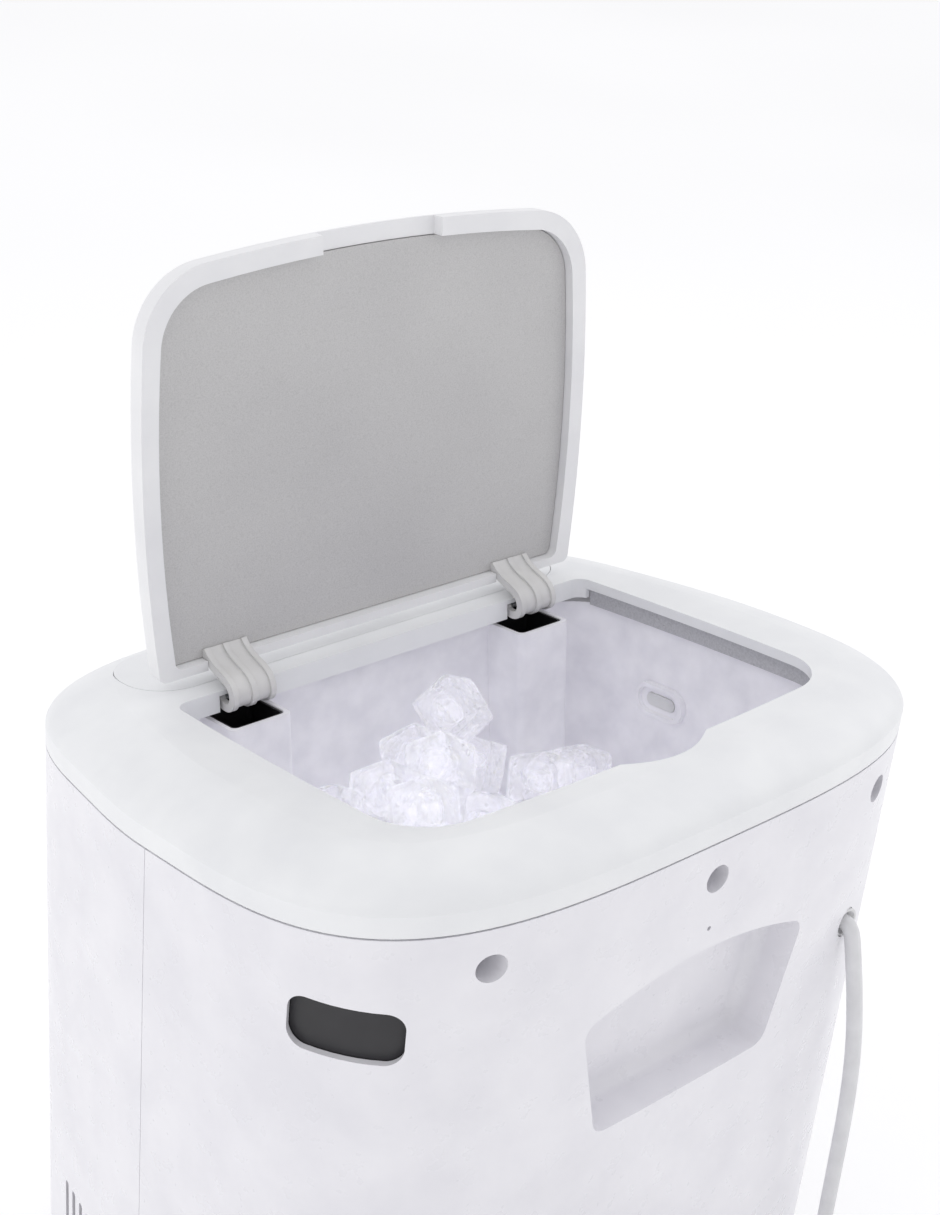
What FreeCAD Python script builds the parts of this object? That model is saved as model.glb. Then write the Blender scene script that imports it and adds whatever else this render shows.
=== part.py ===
import FreeCAD, Part
import math
import os
import re

from FreeCAD import Placement, Rotation, Vector

# Countertop ice maker. The frame stands on the floor plane Z = 0 with its origin in the middle of the body:
# +Z up, -Y towards the front and its control panel, +Y towards the rear and its mains lead. Millimetres.
# The sloping top has a frame of its own, the "top frame": u along X, v rearwards along the slope, w out of it.
# Its origin is the middle of the lid opening's hinge edge.

doc = FreeCAD.newDocument("IceMaker")

# ---------------------------------------------------------------- sizes
sizes = {
    # body
    "bodyWidth": 321.0,
    "rearReach": 132.0,       # from the widest line back to the rear face
    "frontReach": 136.0,      # from the widest line forward to the front face
    "rearPower": 3.6,         # how square the rear corners are
    "frontPower": 5.0,        # how square the front corners are
    "frontTaper": 0.09,       # share of the width lost towards the front
    "shellWall": 2.6,
    "footHeight": 8.0,
    "footRadius": 13.0,
    "topTilt": 7.8,           # degrees, falling towards the front
    "rimHeight": 335.0,       # height of the opening's hinge edge
    "hingeSetback": 77.6,     # from the front face to the opening's hinge edge
    "seamDrop": 22.0,         # the cover's lower edge, below the top plane
    "skirtTop": 13.5,
    "seamGap": 0.8,
    "jointGap": 0.3,
    # lid opening
    "openingWidth": 220.0,
    "openingDepth": 147.6,
    "openingBow": 4.8,
    "openingBulge": 1.8,
    "openingRadius": 26.0,
    "scoopReach": 6.5,
    "scoopHalf": 33.0,
    "scoopShift": -6.0,
    # lid
    "lidWidth": 220.0,
    "lidLength": 161.5,
    "lidBulge": 4.8,
    "lidBow": 6.8,
    "lidThickness": 11.0,
    "lidRadius": 32.0,
    "lidRim": 7.5,
    "lidHingeRim": 4.0,
    "linerDrop": 4.4,
    "linerThickness": 2.2,
    "lidStart": 6.5,          # v of the closed lid's hinge edge
    "lidLift": 0.3,
    "lidAngle": 87.4,         # how far the lid opens
    "notchHalf": 30.0,
    "pivotBack": 4.07,        # the hinge pins lie this far in front of the opening's hinge edge
    "pivotDrop": 5.06,
    "pinRadius": 1.25,
    "pinPlay": 0.05,
    "armOffset": 77.0,
    "armWidth": 20.6,
    "ribThickness": 2.6,
    # bin
    "binRimDrop": 12.7,
    "binHalfWidth": 118.0,
    "binFront": 10.5,
    "binRear": 154.0,
    "binDepth": 172.3,
    "binWall": 2.4,
    "binFlange": 4.6,
    "binDraft": 10.0,
    "pocketWidth": 25.4,
    "pocketReach": 10.3,
    "pocketDepth": 34.0,
    "columnDepth": 108.0,
    "foamWall": 8.0,
    "slotBottom": 171.0,
    "slotTop": 206.0,
    # panel
    "panelHalf": 113.0,
    "panelNear": 11.0,
    "panelDepth": 43.0,
    "panelRadius": 20.0,
    "panelThickness": 2.2,
    "buttonRadius": 6.5,
    "buttonTravel": 1.2,
    "buttonSpacing": 62.0,
    "boardThickness": 1.6,
    # ice making
    "cubeSize": 23.0,
    "gridWall": 1.4,
    "gridDepth": 24.0,
    "gridBottom": 212.0,
    "gridFace": 92.0,         # how far in front of the centre the grid's open face is
    "coilRadius": 3.5,
    "frameInset": 99.0,       # from the centre to the inner face of each side frame
    "frameThickness": 2.4,
    "curtainThickness": 1.6,
    "sumpDepth": 42.0,
    "sumpFloor": 100.0,
    # cold circuit
    "compressorRadius": 54.0,
    "compressorHeight": 112.0,
    "compressorX": 60.0,
    "compressorY": 60.0,
    "finHeight": 108.0,
    "finSpan": 104.0,
    "finDepth": 20.0,
    "finPitch": 5.2,
    "finThickness": 0.8,
    "condenserX": 136.0,
    "condenserY": 30.0,
    "fanRadius": 42.0,
    "fanHub": 15.0,
    "shaftRadius": 2.0,
    "lineRadius": 3.0,
    "capillaryRadius": 1.2,
    # lead and drain
    "cordDiameter": 6.8,
    "cordX": -99.0,
    "cordZ": 257.5,
    "drainRadius": 9.0,
    # rear
    "wellRadius": 5.8,
    "wellDepth": 12.0,
    "wellSpacing": 103.0,
    "handleHalf": 60.0,
    "handleTop": 290.0,
    "handleHeight": 66.0,
    "handleDepth": 19.0,
}

sheet = doc.addObject("Spreadsheet::Sheet", "Sizes")
for row, (alias, value) in enumerate(sizes.items(), start=1):
    sheet.set("A%d" % row, alias)
    sheet.set("B%d" % row, str(value))
    sheet.setAlias("B%d" % row, alias)
doc.recompute()


def size(alias):
    return float(sheet.get(alias))


# ---------------------------------------------------------------- shared helpers
nodes = {}
bigLength = 1000.0
wordPattern = re.compile(r"\b[a-z][A-Za-z]+\b")


def bind(obj, **formulas):
    """Binds properties to formulas over the sheet's aliases. A double underscore stands for a dot."""
    for prop, text in formulas.items():
        bound = wordPattern.sub(lambda m: "Sizes." + m.group(0) if m.group(0) in sizes else m.group(0), text)
        obj.setExpression(prop.replace("__", "."), bound)
    return obj


def primitive(kind, name, **formulas):
    return bind(doc.addObject("Part::" + kind, name), **formulas)


def box(name, length, width, height, x="0", y="0", z="0"):
    return primitive("Box", name, Length=length, Width=width, Height=height,
                     Placement__Base__x=x, Placement__Base__y=y, Placement__Base__z=z)


def cylinder(name, radius, height, x="0", y="0", z="0", axis=None):
    made = primitive("Cylinder", name, Radius=radius, Height=height,
                     Placement__Base__x=x, Placement__Base__y=y, Placement__Base__z=z)
    if axis is not None:
        made.Placement.Rotation = Rotation(Vector(0, 0, 1), axis)
    return made


def cut(name, base, tool):
    made = doc.addObject("Part::Cut", name)
    made.Base = base
    made.Tool = tool
    return made


def fuse(name, *pieces):
    made = doc.addObject("Part::MultiFuse", name)
    made.Shapes = list(pieces)
    return made


def group(name, *pieces):
    made = doc.addObject("Part::Compound", name)
    made.Links = list(pieces)
    return made


def node(name, obj):
    obj.Label = name
    nodes[name] = obj
    return obj


def feature(name, shape, placement=None):
    made = doc.addObject("Part::Feature", name + "_shape")
    made.Shape = shape
    if placement is not None:
        made.Placement = placement.multiply(made.Placement)
    return node(name, made)


def solidBox(x0, x1, y0, y1, z0, z1):
    return Part.makeBox(x1 - x0, y1 - y0, z1 - z0, Vector(x0, y0, z0))


def rod(start, end, radius):
    along = end - start
    return Part.makeCylinder(radius, along.Length, start, along)


def roundedPlate(x0, x1, y0, y1, radius, z0, z1):
    """A plate with rounded corners, flat in Z."""
    plate = solidBox(x0, x1, y0, y1, z0, z1)
    return plate.makeFillet(radius, verticalEdges(plate))


def verticalEdges(shape, direction=Vector(0, 0, 1)):
    found = []
    for edge in shape.Edges:
        if edge.Curve.TypeId == "Part::GeomLine":
            if abs(edge.tangentAt(edge.FirstParameter).dot(direction)) > 0.999:
                found.append(edge)
    return found


def edgesAt(shape, height):
    """The edges that lie wholly at one height."""
    return [e for e in shape.Edges if abs(e.BoundBox.ZMin - height) < 1e-4 and abs(e.BoundBox.ZMax - height) < 1e-4]


# ---------------------------------------------------------------- the body's outline and the top frame
halfWidth = size("bodyWidth") / 2
rearFace = (size("rearReach") + size("frontReach")) / 2
frontFace = -rearFace
widestY = rearFace - size("rearReach")
tilt = math.radians(size("topTilt"))
topOrigin = Vector(0, frontFace + size("hingeSetback"), size("rimHeight"))
topFrame = Placement(topOrigin, Rotation(Vector(1, 0, 0), size("topTilt")))
wall = size("shellWall")
gap = size("jointGap")
outlineCount = 56


def outlinePoint(angle):
    """A rounded-square curve: squarer and tapering towards the front."""
    c = math.cos(angle)
    s = math.sin(angle)
    power = size("rearPower") if s >= 0 else size("frontPower")
    reach = size("rearReach") if s >= 0 else size("frontReach")
    across = math.copysign(abs(c) ** (2 / power), c)
    along = math.copysign(abs(s) ** (2 / power), s)
    taper = 1.0 if s >= 0 else 1 + size("frontTaper") * along
    return Vector(halfWidth * across * taper, widestY + reach * along, 0)


outline = Part.BSplineCurve()
outline.interpolate(Points=[outlinePoint(2 * math.pi * i / outlineCount) for i in range(outlineCount)],
                    PeriodicFlag=True)


def insetPoints(inset):
    """Points of the body's outline moved inwards."""
    points = []
    first, last = outline.FirstParameter, outline.LastParameter
    for i in range(outlineCount):
        parameter = first + (last - first) * i / outlineCount
        tangent = outline.tangent(parameter)[0]
        points.append(outline.value(parameter) + Vector(-tangent.y, tangent.x, 0) * inset)
    return points


def closedWire(points):
    curve = Part.BSplineCurve()
    curve.interpolate(Points=points, PeriodicFlag=True)
    return Part.Wire([curve.toShape()])


def bodyPrism(inset, low, high):
    face = Part.Face(closedWire(insetPoints(inset)))
    face.translate(Vector(0, 0, low))
    return face.extrude(Vector(0, 0, high - low))


def bodyRing(outer, inner, low, high):
    return bodyPrism(outer, low, high).cut(bodyPrism(inner, low - 1, high + 1))


def topSlab(low, high):
    """Everything between two planes parallel to the top."""
    slab = Part.makeBox(bigLength, bigLength, high - low, Vector(-bigLength / 2, -bigLength / 2, low))
    slab.Placement = topFrame
    return slab


def topHeight(y, drop):
    """Height of the plane that lies drop below the top plane, above a point of the floor plan."""
    return topOrigin.z + (y - topOrigin.y) * math.tan(tilt) - drop / math.cos(tilt)


def slopedWire(inset, drop):
    return closedWire([Vector(p.x, p.y, topHeight(p.y, drop)) for p in insetPoints(inset)])


# ---------------------------------------------------------------- casing
def openingPrism(grow, low, high):
    """The lid opening's outline in the top frame: straight hinge edge, bowed sides and rear edge."""
    half = size("openingWidth") / 2 + grow
    near = -grow
    far = size("openingDepth") + grow
    corners = [Vector(-half, near, low), Vector(half, near, low), Vector(half, far, low), Vector(-half, far, low)]
    middleSide = Vector(half + size("openingBulge"), (near + far) / 2, low)
    middleRear = Vector(0, far + size("openingBow"), low)
    edges = [
        Part.LineSegment(corners[0], corners[1]).toShape(),
        Part.Arc(corners[1], middleSide, corners[2]).toShape(),
        Part.Arc(corners[2], middleRear, corners[3]).toShape(),
        Part.Arc(corners[3], Vector(-middleSide.x, middleSide.y, low), corners[0]).toShape(),
    ]
    prism = Part.Face(Part.Wire(edges)).extrude(Vector(0, 0, high - low))
    upright = verticalEdges(prism)
    rearEdges = [e for e in upright if e.Vertexes[0].Y > far / 2]
    hingeEdges = [e for e in upright if e.Vertexes[0].Y < far / 2]
    prism = prism.makeFillet(size("openingRadius") + grow, rearEdges)
    hingeEdges = [e for e in verticalEdges(prism) if e.Vertexes[0].Y < 1 + grow and abs(e.Vertexes[0].X) > half - 1]
    return prism.makeFillet(6 + grow, hingeEdges)


def scoopPrism(grow, low, high):
    """The shallow finger scoop in the middle of the opening's rear edge."""
    edge = size("openingDepth") + size("openingBow")
    half = size("scoopHalf") + grow
    shift = size("scoopShift")
    points = [Vector(shift - half, edge - 6, low), Vector(shift - half * 0.72, edge - 0.6 + grow, low),
              Vector(shift - half * 0.3, edge + size("scoopReach") + grow, low),
              Vector(shift + half * 0.3, edge + size("scoopReach") + grow, low),
              Vector(shift + half * 0.72, edge - 0.6 + grow, low), Vector(shift + half, edge - 6, low)]
    curve = Part.BSplineCurve()
    curve.interpolate(Points=points)
    wire = Part.Wire([curve.toShape(), Part.LineSegment(points[-1], points[0]).toShape()])
    return Part.Face(wire).extrude(Vector(0, 0, high - low))


# the cover's section: how far in from the outline, and how far below the top plane
coverSection = [(0.0, size("skirtTop")), (1.6, 10.9), (6.0, 7.2), (13.0, 3.7), (20.5, 1.3), (28.0, 0.0)]


def coverSolid(thickness, skirtBottom):
    """The cover's outer form, or its hollow when a thickness is given."""
    sections = []
    for i, (inset, drop) in enumerate(coverSection):
        before = coverSection[max(i - 1, 0)]
        after = coverSection[min(i + 1, len(coverSection) - 1)]
        slope = Vector(after[0] - before[0], before[1] - after[1], 0).normalize()
        sections.append((inset + thickness * slope.y, drop + thickness * slope.x))
    if thickness:
        sections[0] = (thickness, sections[0][1])
        sections[-1] = (sections[-1][0], thickness)
    dome = Part.makeLoft([slopedWire(*s) for s in sections], True, False)
    skirt = bodyPrism(sections[0][0], 200, 500)
    skirt = skirt.common(topSlab(-skirtBottom, -sections[0][1]))
    return skirt.fuse(dome)


def panelPlate(grow, low, high):
    near = -size("panelNear") + grow
    far = -size("panelNear") - size("panelDepth") - grow
    half = size("panelHalf") + grow
    return roundedPlate(-half, half, far, near, size("panelRadius") + grow, low, high)


def inTop(shape):
    """A shape drawn in the top frame, moved to its place on the body."""
    placed = shape.copy()
    placed.Placement = topFrame.multiply(placed.Placement)
    return placed


def makeTopCover():
    cover = coverSolid(0, size("seamDrop")).cut(coverSolid(wall, size("seamDrop") + 5))
    collarDrop = 9.0
    edgeDrop = 4.6
    collar = openingPrism(2.2, -collarDrop, -1).cut(solidBox(-200, 200, 4, 200, -collarDrop - 1, -edgeDrop))
    ledge = panelPlate(2.5, -wall - 2, -wall)
    cover = cover.fuse(inTop(collar)).fuse(inTop(ledge))
    cover = cover.fuse(inTop(scoopPrism(2.2, -edgeDrop, -1)))
    cover = cover.cut(inTop(openingPrism(0, -20, 5))).cut(inTop(scoopPrism(0, -20, 5)))
    cover = cover.cut(inTop(panelPlate(gap, -wall, 5))).cut(inTop(panelPlate(-4, -20, 5)))
    for side in (-1, 1):
        middle = side * size("armOffset")
        half = size("armWidth") / 2 + 1.6
        cover = cover.cut(inTop(solidBox(middle - half, middle + half, -size("panelNear"), 1, -20, -2.0)))
        for ear in (-1, 1):
            face = middle + ear * (half + 1.5)
            block = solidBox(min(face, face + ear * 2.5), max(face, face + ear * 2.5),
                             -size("pivotBack") - 3.6, -0.4, -size("pivotDrop") - 3.4, -1.0)
            bore = rod(Vector(face - 5, -size("pivotBack"), -size("pivotDrop")),
                       Vector(face + 5, -size("pivotBack"), -size("pivotDrop")),
                       size("pinRadius") + size("pinPlay"))
            cover = cover.fuse(inTop(block)).cut(inTop(bore))
    feature("top_cover", cover.removeSplitter())


def shellBlank():
    seam = size("seamDrop") + size("seamGap")
    low = size("footHeight")
    skin = bodyRing(0, wall, low, 500).common(topSlab(-bigLength / 2, -seam))
    tongue = bodyRing(wall + gap, wall + 1.8, 200, 500).common(topSlab(-seam - 8, -seam + 5))
    root = bodyRing(wall - 0.2, wall + 1.8, 200, 500).common(topSlab(-seam - 8, -seam - 0.6))
    return skin.fuse([root, tongue])


def handleCavity(grow, depth):
    """The rear hand-hold: an arched top, leaning sides and a rounded back."""
    half = size("handleHalf") + grow
    top = size("handleTop") + grow
    shoulder = top - 12
    low = size("handleTop") - size("handleHeight") - grow
    face = rearFace + 10
    corners = [Vector(-half, face, shoulder), Vector(half, face, shoulder),
               Vector(half - 13, face, low), Vector(-half + 13, face, low)]
    edges = [Part.Arc(corners[0], Vector(0, face, top), corners[1]).toShape()]
    for a, b in ((1, 2), (2, 3), (3, 0)):
        edges.append(Part.LineSegment(corners[a], corners[b]).toShape())
    solid = Part.Face(Part.Wire(edges)).extrude(Vector(0, -depth - 10, 0))
    solid = solid.makeFillet(7 + grow, verticalEdges(solid, Vector(0, 1, 0)))
    back = rearFace - depth
    deep = [e for e in solid.Edges if abs(e.BoundBox.YMin - back) < 1e-4 and abs(e.BoundBox.YMax - back) < 1e-4]
    return solid.makeFillet(6, deep)


def cornerSlot(side, grow, reach):
    """A level slot through the shell at one rear corner."""
    slot = roundedPlate(-21 - grow, 21 + grow, -11 - grow, 11 + grow, 7 + grow, -reach, 12)
    turn = Rotation(Vector(0, 0, 1), 55 * side).multiply(Rotation(Vector(1, 0, 0), 90))
    slot.Placement = Placement(Vector(-side * 143.5, 99, 293.5), turn.multiply(Rotation(Vector(0, 1, 0), 180)))
    return slot


def ventSlots(side, y0, y1, z0, z1):
    """Upright cooling slots through one side wall."""
    pitch = 7.5
    count = int((y1 - y0) / pitch)
    slots = []
    for i in range(count + 1):
        y = y0 + i * pitch
        low, high = sorted((side * 110, side * 175))
        slot = solidBox(low, high, y - 1.6, y + 1.6, z0, z1)
        slots.append(slot.makeFillet(1.5, verticalEdges(slot, Vector(1, 0, 0))))
    return slots


def makeRearShell():
    outer = bodyPrism(0, size("footHeight"), 500)
    shell = shellBlank().common(solidBox(-300, 300, widestY + gap / 2, 300, 0, 500))
    cups = []
    bores = []
    for x in (-size("wellSpacing"), 0, size("wellSpacing")):
        face = rearYAt(x)
        z = topHeight(face, size("seamDrop") + 17)
        back = face - size("wellDepth")
        cups.append(rod(Vector(x, back - wall, z), Vector(x, face + 20, z), size("wellRadius") + 2.2))
        bores.append(rod(Vector(x, back, z), Vector(x, face + 20, z), size("wellRadius")))
        bores.append(rod(Vector(x, back - 20, z), Vector(x, face, z), 2.1))
    cups.append(handleCavity(wall, size("handleDepth") + wall))
    bores.append(handleCavity(0, size("handleDepth")))
    pin = Vector(0, rearFace, topHeight(rearFace, size("seamDrop") + 39))
    bores.append(rod(pin - Vector(0, 8, 0), pin + Vector(0, 8, 0), 1.0))
    bores.append(rod(Vector(size("cordX"), 90, size("cordZ")), Vector(size("cordX"), 160, size("cordZ")), 6.6))
    bores.append(rod(Vector(-70, 90, 34), Vector(-70, 160, 34), size("drainRadius") + 2.4))
    for side in (-1, 1):
        bores.append(cornerSlot(side, 0, 20))
        bores.extend(ventSlots(side, widestY + 12, widestY + 70, 40, 104))
    shell = shell.fuse([c.common(outer) for c in cups]).cut(bores)
    feature("rear_shell", shell)


def rearYAt(x):
    """Where the rear face is at a distance from the centre line."""
    share = 1 - (abs(x) / halfWidth) ** size("rearPower")
    return widestY + size("rearReach") * share ** (1 / size("rearPower"))


def makeFrontShell():
    shell = shellBlank().common(solidBox(-300, 300, -300, widestY - gap / 2, 0, 500))
    slots = []
    for side in (-1, 1):
        slots.extend(ventSlots(side, widestY - 70, widestY - 12, 40, 104))
    feature("front_shell", shell.cut(slots))


def makeCornerVents():
    ring = bodyRing(wall + gap, wall + gap + 2.2, 270, 330)
    backs = [ring.common(cornerSlot(side, 4, 30)) for side in (-1, 1)]
    feature("corner_vents", Part.makeCompound([s for b in backs for s in b.Solids]))


def makeBasePlate():
    low = size("footHeight")
    plate = bodyPrism(wall + gap, low, low + 2.5)
    rim = bodyRing(wall + gap, wall + gap + 1.8, low, low + 14)
    holes = []
    for i in range(9):
        for j in range(2):
            x = -48 + i * 12.0
            y = -20 + j * 22.0
            holes.append(solidBox(x - 1.8, x + 1.8, y, y + 16, low - 1, low + 4))
    drain = rod(Vector(-70, 90, 34), Vector(-70, 160, 34), size("drainRadius") + gap)
    feature("base_plate", plate.fuse(rim).cut(holes + [drain]))


def makeFeet():
    made = []
    for i, (x, y) in enumerate(((-108, -92), (108, -92), (-108, 92), (108, 92))):
        foot = primitive("Cone", "Foot%d" % i, Radius1="footRadius - 1.5", Radius2="footRadius", Height="footHeight")
        foot.Placement.Base = Vector(x, y, 0)
        made.append(foot)
    node("feet", group("Feet", *made))


def makeScrews():
    screws = []
    for x in (-size("wellSpacing"), 0, size("wellSpacing")):
        face = rearYAt(x)
        z = topHeight(face, size("seamDrop") + 17)
        seat = face - size("wellDepth")
        head = rod(Vector(x, seat, z), Vector(x, seat + 2.4, z), 3.6)
        shank = rod(Vector(x, seat - 9, z), Vector(x, seat + 0.1, z), 1.9)
        cross = solidBox(x - 2.2, x + 2.2, seat + 1, seat + 4, z - 0.45, z + 0.45)
        other = solidBox(x - 0.45, x + 0.45, seat + 1, seat + 4, z - 2.2, z + 2.2)
        screws.append(head.fuse(shank).cut(cross).cut(other))
    feature("cover_screws", Part.makeCompound([s for m in screws for s in m.Solids]))


# ---------------------------------------------------------------- lid and its hinge
pivot = Vector(0, -size("pivotBack"), -size("pivotDrop"))
openTurn = Placement(Vector(0, 0, 0), Rotation(Vector(1, 0, 0), size("lidAngle")), pivot)
lidFrame = topFrame.multiply(openTurn)


def lidPrism(inset, hingeInset, low, high, radius):
    """The lid's outline in the top frame, as it lies closed."""
    half = size("lidWidth") / 2 - inset
    near = size("lidStart") + hingeInset
    far = size("lidStart") + size("lidLength") - inset
    corners = [Vector(-half, near, low), Vector(half, near, low), Vector(half, far, low), Vector(-half, far, low)]
    side = Vector(half + size("lidBulge"), (near + far) / 2, low)
    edges = [
        Part.LineSegment(corners[0], corners[1]).toShape(),
        Part.Arc(corners[1], side, corners[2]).toShape(),
        Part.Arc(corners[2], Vector(0, far + size("lidBow"), low), corners[3]).toShape(),
        Part.Arc(corners[3], Vector(-side.x, side.y, low), corners[0]).toShape(),
    ]
    prism = Part.Face(Part.Wire(edges)).extrude(Vector(0, 0, high - low))
    freeEdges = [e for e in verticalEdges(prism) if e.Vertexes[0].Y > far - 1]
    prism = prism.makeFillet(radius, freeEdges)
    hingeEdges = [e for e in verticalEdges(prism) if e.Vertexes[0].Y < near + 1]
    return prism.makeFillet(3.5, hingeEdges)


def armCuts(grow):
    width = size("armWidth") + 2 * grow
    cuts = []
    for side in (-1, 1):
        x = side * size("armOffset")
        cuts.append(solidBox(x - width / 2, x + width / 2, 0, size("lidStart") + size("lidHingeRim") + 0.5,
                             -1, size("lidLift") + size("linerDrop")))
    return cuts


def makeLid():
    low = size("lidLift")
    high = low + size("lidThickness")
    skin = 2.6
    outer = lidPrism(0, 0, low, high, size("lidRadius"))
    outer = outer.makeFillet(5.0, edgesAt(outer, high))
    hollow = lidPrism(size("lidRim"), size("lidHingeRim"), low - 1, high - skin, size("lidRadius") - size("lidRim"))
    free = size("lidStart") + size("lidLength") + size("lidBow")
    notch = solidBox(-size("notchHalf"), size("notchHalf"), free - size("lidRim") - 4, free + 5,
                     low - 1, low + 5.2)
    notch = notch.makeFillet(3.0, verticalEdges(notch)[:4])
    shell = outer.cut(hollow).cut(notch).cut(armCuts(0.3))
    feature("lid_shell", shell, lidFrame)
    linerLow = low + size("linerDrop")
    inset = size("lidRim") + gap
    hingeInset = size("lidHingeRim") + gap
    cap = lidPrism(inset, hingeInset, linerLow, high - skin, size("lidRadius") - inset)
    inner = lidPrism(inset + 2, hingeInset + 2, linerLow + size("linerThickness"), high, size("lidRadius") - inset - 2)
    feature("lid_liner", cap.cut(inner), lidFrame)


def armPath():
    """The gooseneck's middle line in the top frame with the lid open, from the liner down to the pin."""
    return [Vector(0, -13.4, 13.2), Vector(0, -9.6, 9.4), Vector(0, -4.0, 6.6), Vector(0, 1.2, 4.6),
            Vector(0, 5.0, 1.6), Vector(0, 6.2, -2.4), Vector(0, 4.6, -5.9), Vector(0, 1.0, -7.0), pivot]


def stripFace(points, half):
    """A band of even width along a smooth line in the v-w plane."""
    curve = Part.BSplineCurve()
    curve.interpolate(Points=points)
    first, last = curve.FirstParameter, curve.LastParameter
    count = 22
    sides = {1: [], -1: []}
    for i in range(count + 1):
        parameter = first + (last - first) * i / count
        tangent = curve.tangent(parameter)[0]
        for sign in sides:
            sides[sign].append(curve.value(parameter) + Vector(0, -tangent.z, tangent.y) * half * sign)
    edges = []
    for sign in (1, -1):
        edge = Part.BSplineCurve()
        edge.interpolate(Points=sides[sign])
        edges.append(edge.toShape())
    edges.append(Part.LineSegment(sides[1][0], sides[-1][0]).toShape())
    edges.append(Part.LineSegment(sides[1][-1], sides[-1][-1]).toShape())
    return Part.Face(Part.Wire(Part.__sortEdges__(edges)))


def makeArm(name, middle):
    width = size("armWidth")
    rib = size("ribThickness")
    eye = size("pinRadius") + size("pinPlay")
    ribFace = stripFace(armPath(), 1.75)
    webFace = stripFace(armPath()[:7], 0.95)
    arm = webFace.extrude(Vector(width - rib, 0, 0)).translated(Vector(-(width - rib) / 2, 0, 0))
    for place in (-1, 0, 1):
        x = place * (width - rib) / 2 - rib / 2
        arm = arm.fuse(ribFace.extrude(Vector(rib, 0, 0)).translated(Vector(x, 0, 0)))
        arm = arm.fuse(rod(pivot + Vector(x, 0, 0), pivot + Vector(x + rib, 0, 0), eye + 1.15))
    arm = arm.cut(rod(pivot - Vector(40, 0, 0), pivot + Vector(40, 0, 0), eye + 0.02))
    # trimmed against the liner, which stands behind it when the lid is open
    liner = solidBox(-60, 60, -20, 200, size("lidLift") + size("linerDrop"), 60)
    liner.Placement = openTurn
    arm = arm.cut(liner)
    arm.translate(Vector(middle, 0, 0))
    feature(name, arm, topFrame)


def makeHinge():
    makeArm("hinge_arm_left", size("armOffset"))
    makeArm("hinge_arm_right", -size("armOffset"))
    reach = size("armWidth") / 2 + 5.5
    pins = []
    for side in (-1, 1):
        middle = pivot + Vector(side * size("armOffset"), 0, 0)
        pins.append(rod(middle - Vector(reach, 0, 0), middle + Vector(reach, 0, 0), size("pinRadius")))
    feature("hinge_pins", Part.makeCompound(pins), topFrame)


# ---------------------------------------------------------------- bin
def binWire(grow, level):
    """The bin's section at a depth, narrowing downwards."""
    share = (level - size("binRimDrop")) / size("binDepth")
    half = size("binHalfWidth") - size("binDraft") * share + grow
    near = -size("binFront") + 6.0 * share - grow
    far = size("binRear") - 23.0 * share + grow
    radius = 26.0 + grow
    plate = roundedPlate(-half, half, near, far, radius, -level, -level + 1)
    bottom = min(plate.Faces, key=lambda f: f.CenterOfMass.z)
    return bottom.OuterWire


def binForm(grow, top, bottom):
    return Part.makeLoft([binWire(grow, top), binWire(grow, bottom)], True, True)


def sensorPlace():
    """Middle of the ice sensor on the bin's right wall, in the top frame."""
    level = 48.0
    share = (level - size("binRimDrop")) / size("binDepth")
    return Vector(-(size("binHalfWidth") - size("binDraft") * share), 48.5, -level)


def sensorOval(halfLong, halfTall, x0, x1):
    middle = sensorPlace()
    plate = roundedPlate(-halfLong, halfLong, -halfTall, halfTall, halfTall - 0.05, x0, x1)
    plate.Placement = Placement(middle, Rotation(Vector(0, 1, 0), Vector(0, 0, 1), Vector(1, 0, 0), "XYZ"))
    return plate


def makeBin():
    top = size("binRimDrop")
    bottom = top + size("binDepth")
    body = binForm(size("binWall"), top, bottom)
    flange = binForm(size("binWall") + size("binFlange"), top, top + 2.2)
    solid = body.fuse(flange)
    hollow = binForm(0, top - 0.01, bottom - size("binWall"))
    pocketHalf = size("pocketWidth") / 2
    reach = size("pocketReach")
    solid = solid.cut(hollow)
    slot = slotCutter()
    for side in (-1, 1):
        x = side * size("armOffset")
        foot = -top - size("columnDepth")
        column = solidBox(x - pocketHalf - 2, x + pocketHalf + 2, -size("binFront") - 9, reach + 2, foot - 2, -top)
        column = column.makeFillet(3, [e for e in verticalEdges(column) if e.Vertexes[0].Y > 0]).common(body)
        inner = roundedPlate(x - pocketHalf, x + pocketHalf, -size("binFront") - 20, reach, 2.6, foot, -top + 5)
        solid = solid.fuse(column).cut(inner)
    drains = []
    for i in range(9):
        x = -72 + 18.0 * i
        drains.append(solidBox(x - 3.5, x + 3.5, 4, 14, -bottom - 2, -bottom + 4))
    window = sensorOval(11.4, 5.4, -10, 10)
    solid = solid.cut(drains + [window, slot])
    feature("ice_bin", solid, topFrame)


def slotCutter():
    """The gap in the bin's front wall that ice slides in through, in the top frame."""
    low = (size("slotBottom") - size("rimHeight")) / math.cos(tilt)
    high = (size("slotTop") - size("rimHeight")) / math.cos(tilt)
    return roundedPlateY(-94, 94, -40, 15, low, high, 6)


def roundedPlateY(x0, x1, y0, y1, z0, z1, radius):
    block = solidBox(x0, x1, y0, y1, z0, z1)
    return block.makeFillet(radius, verticalEdges(block, Vector(0, 1, 0)))


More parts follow.
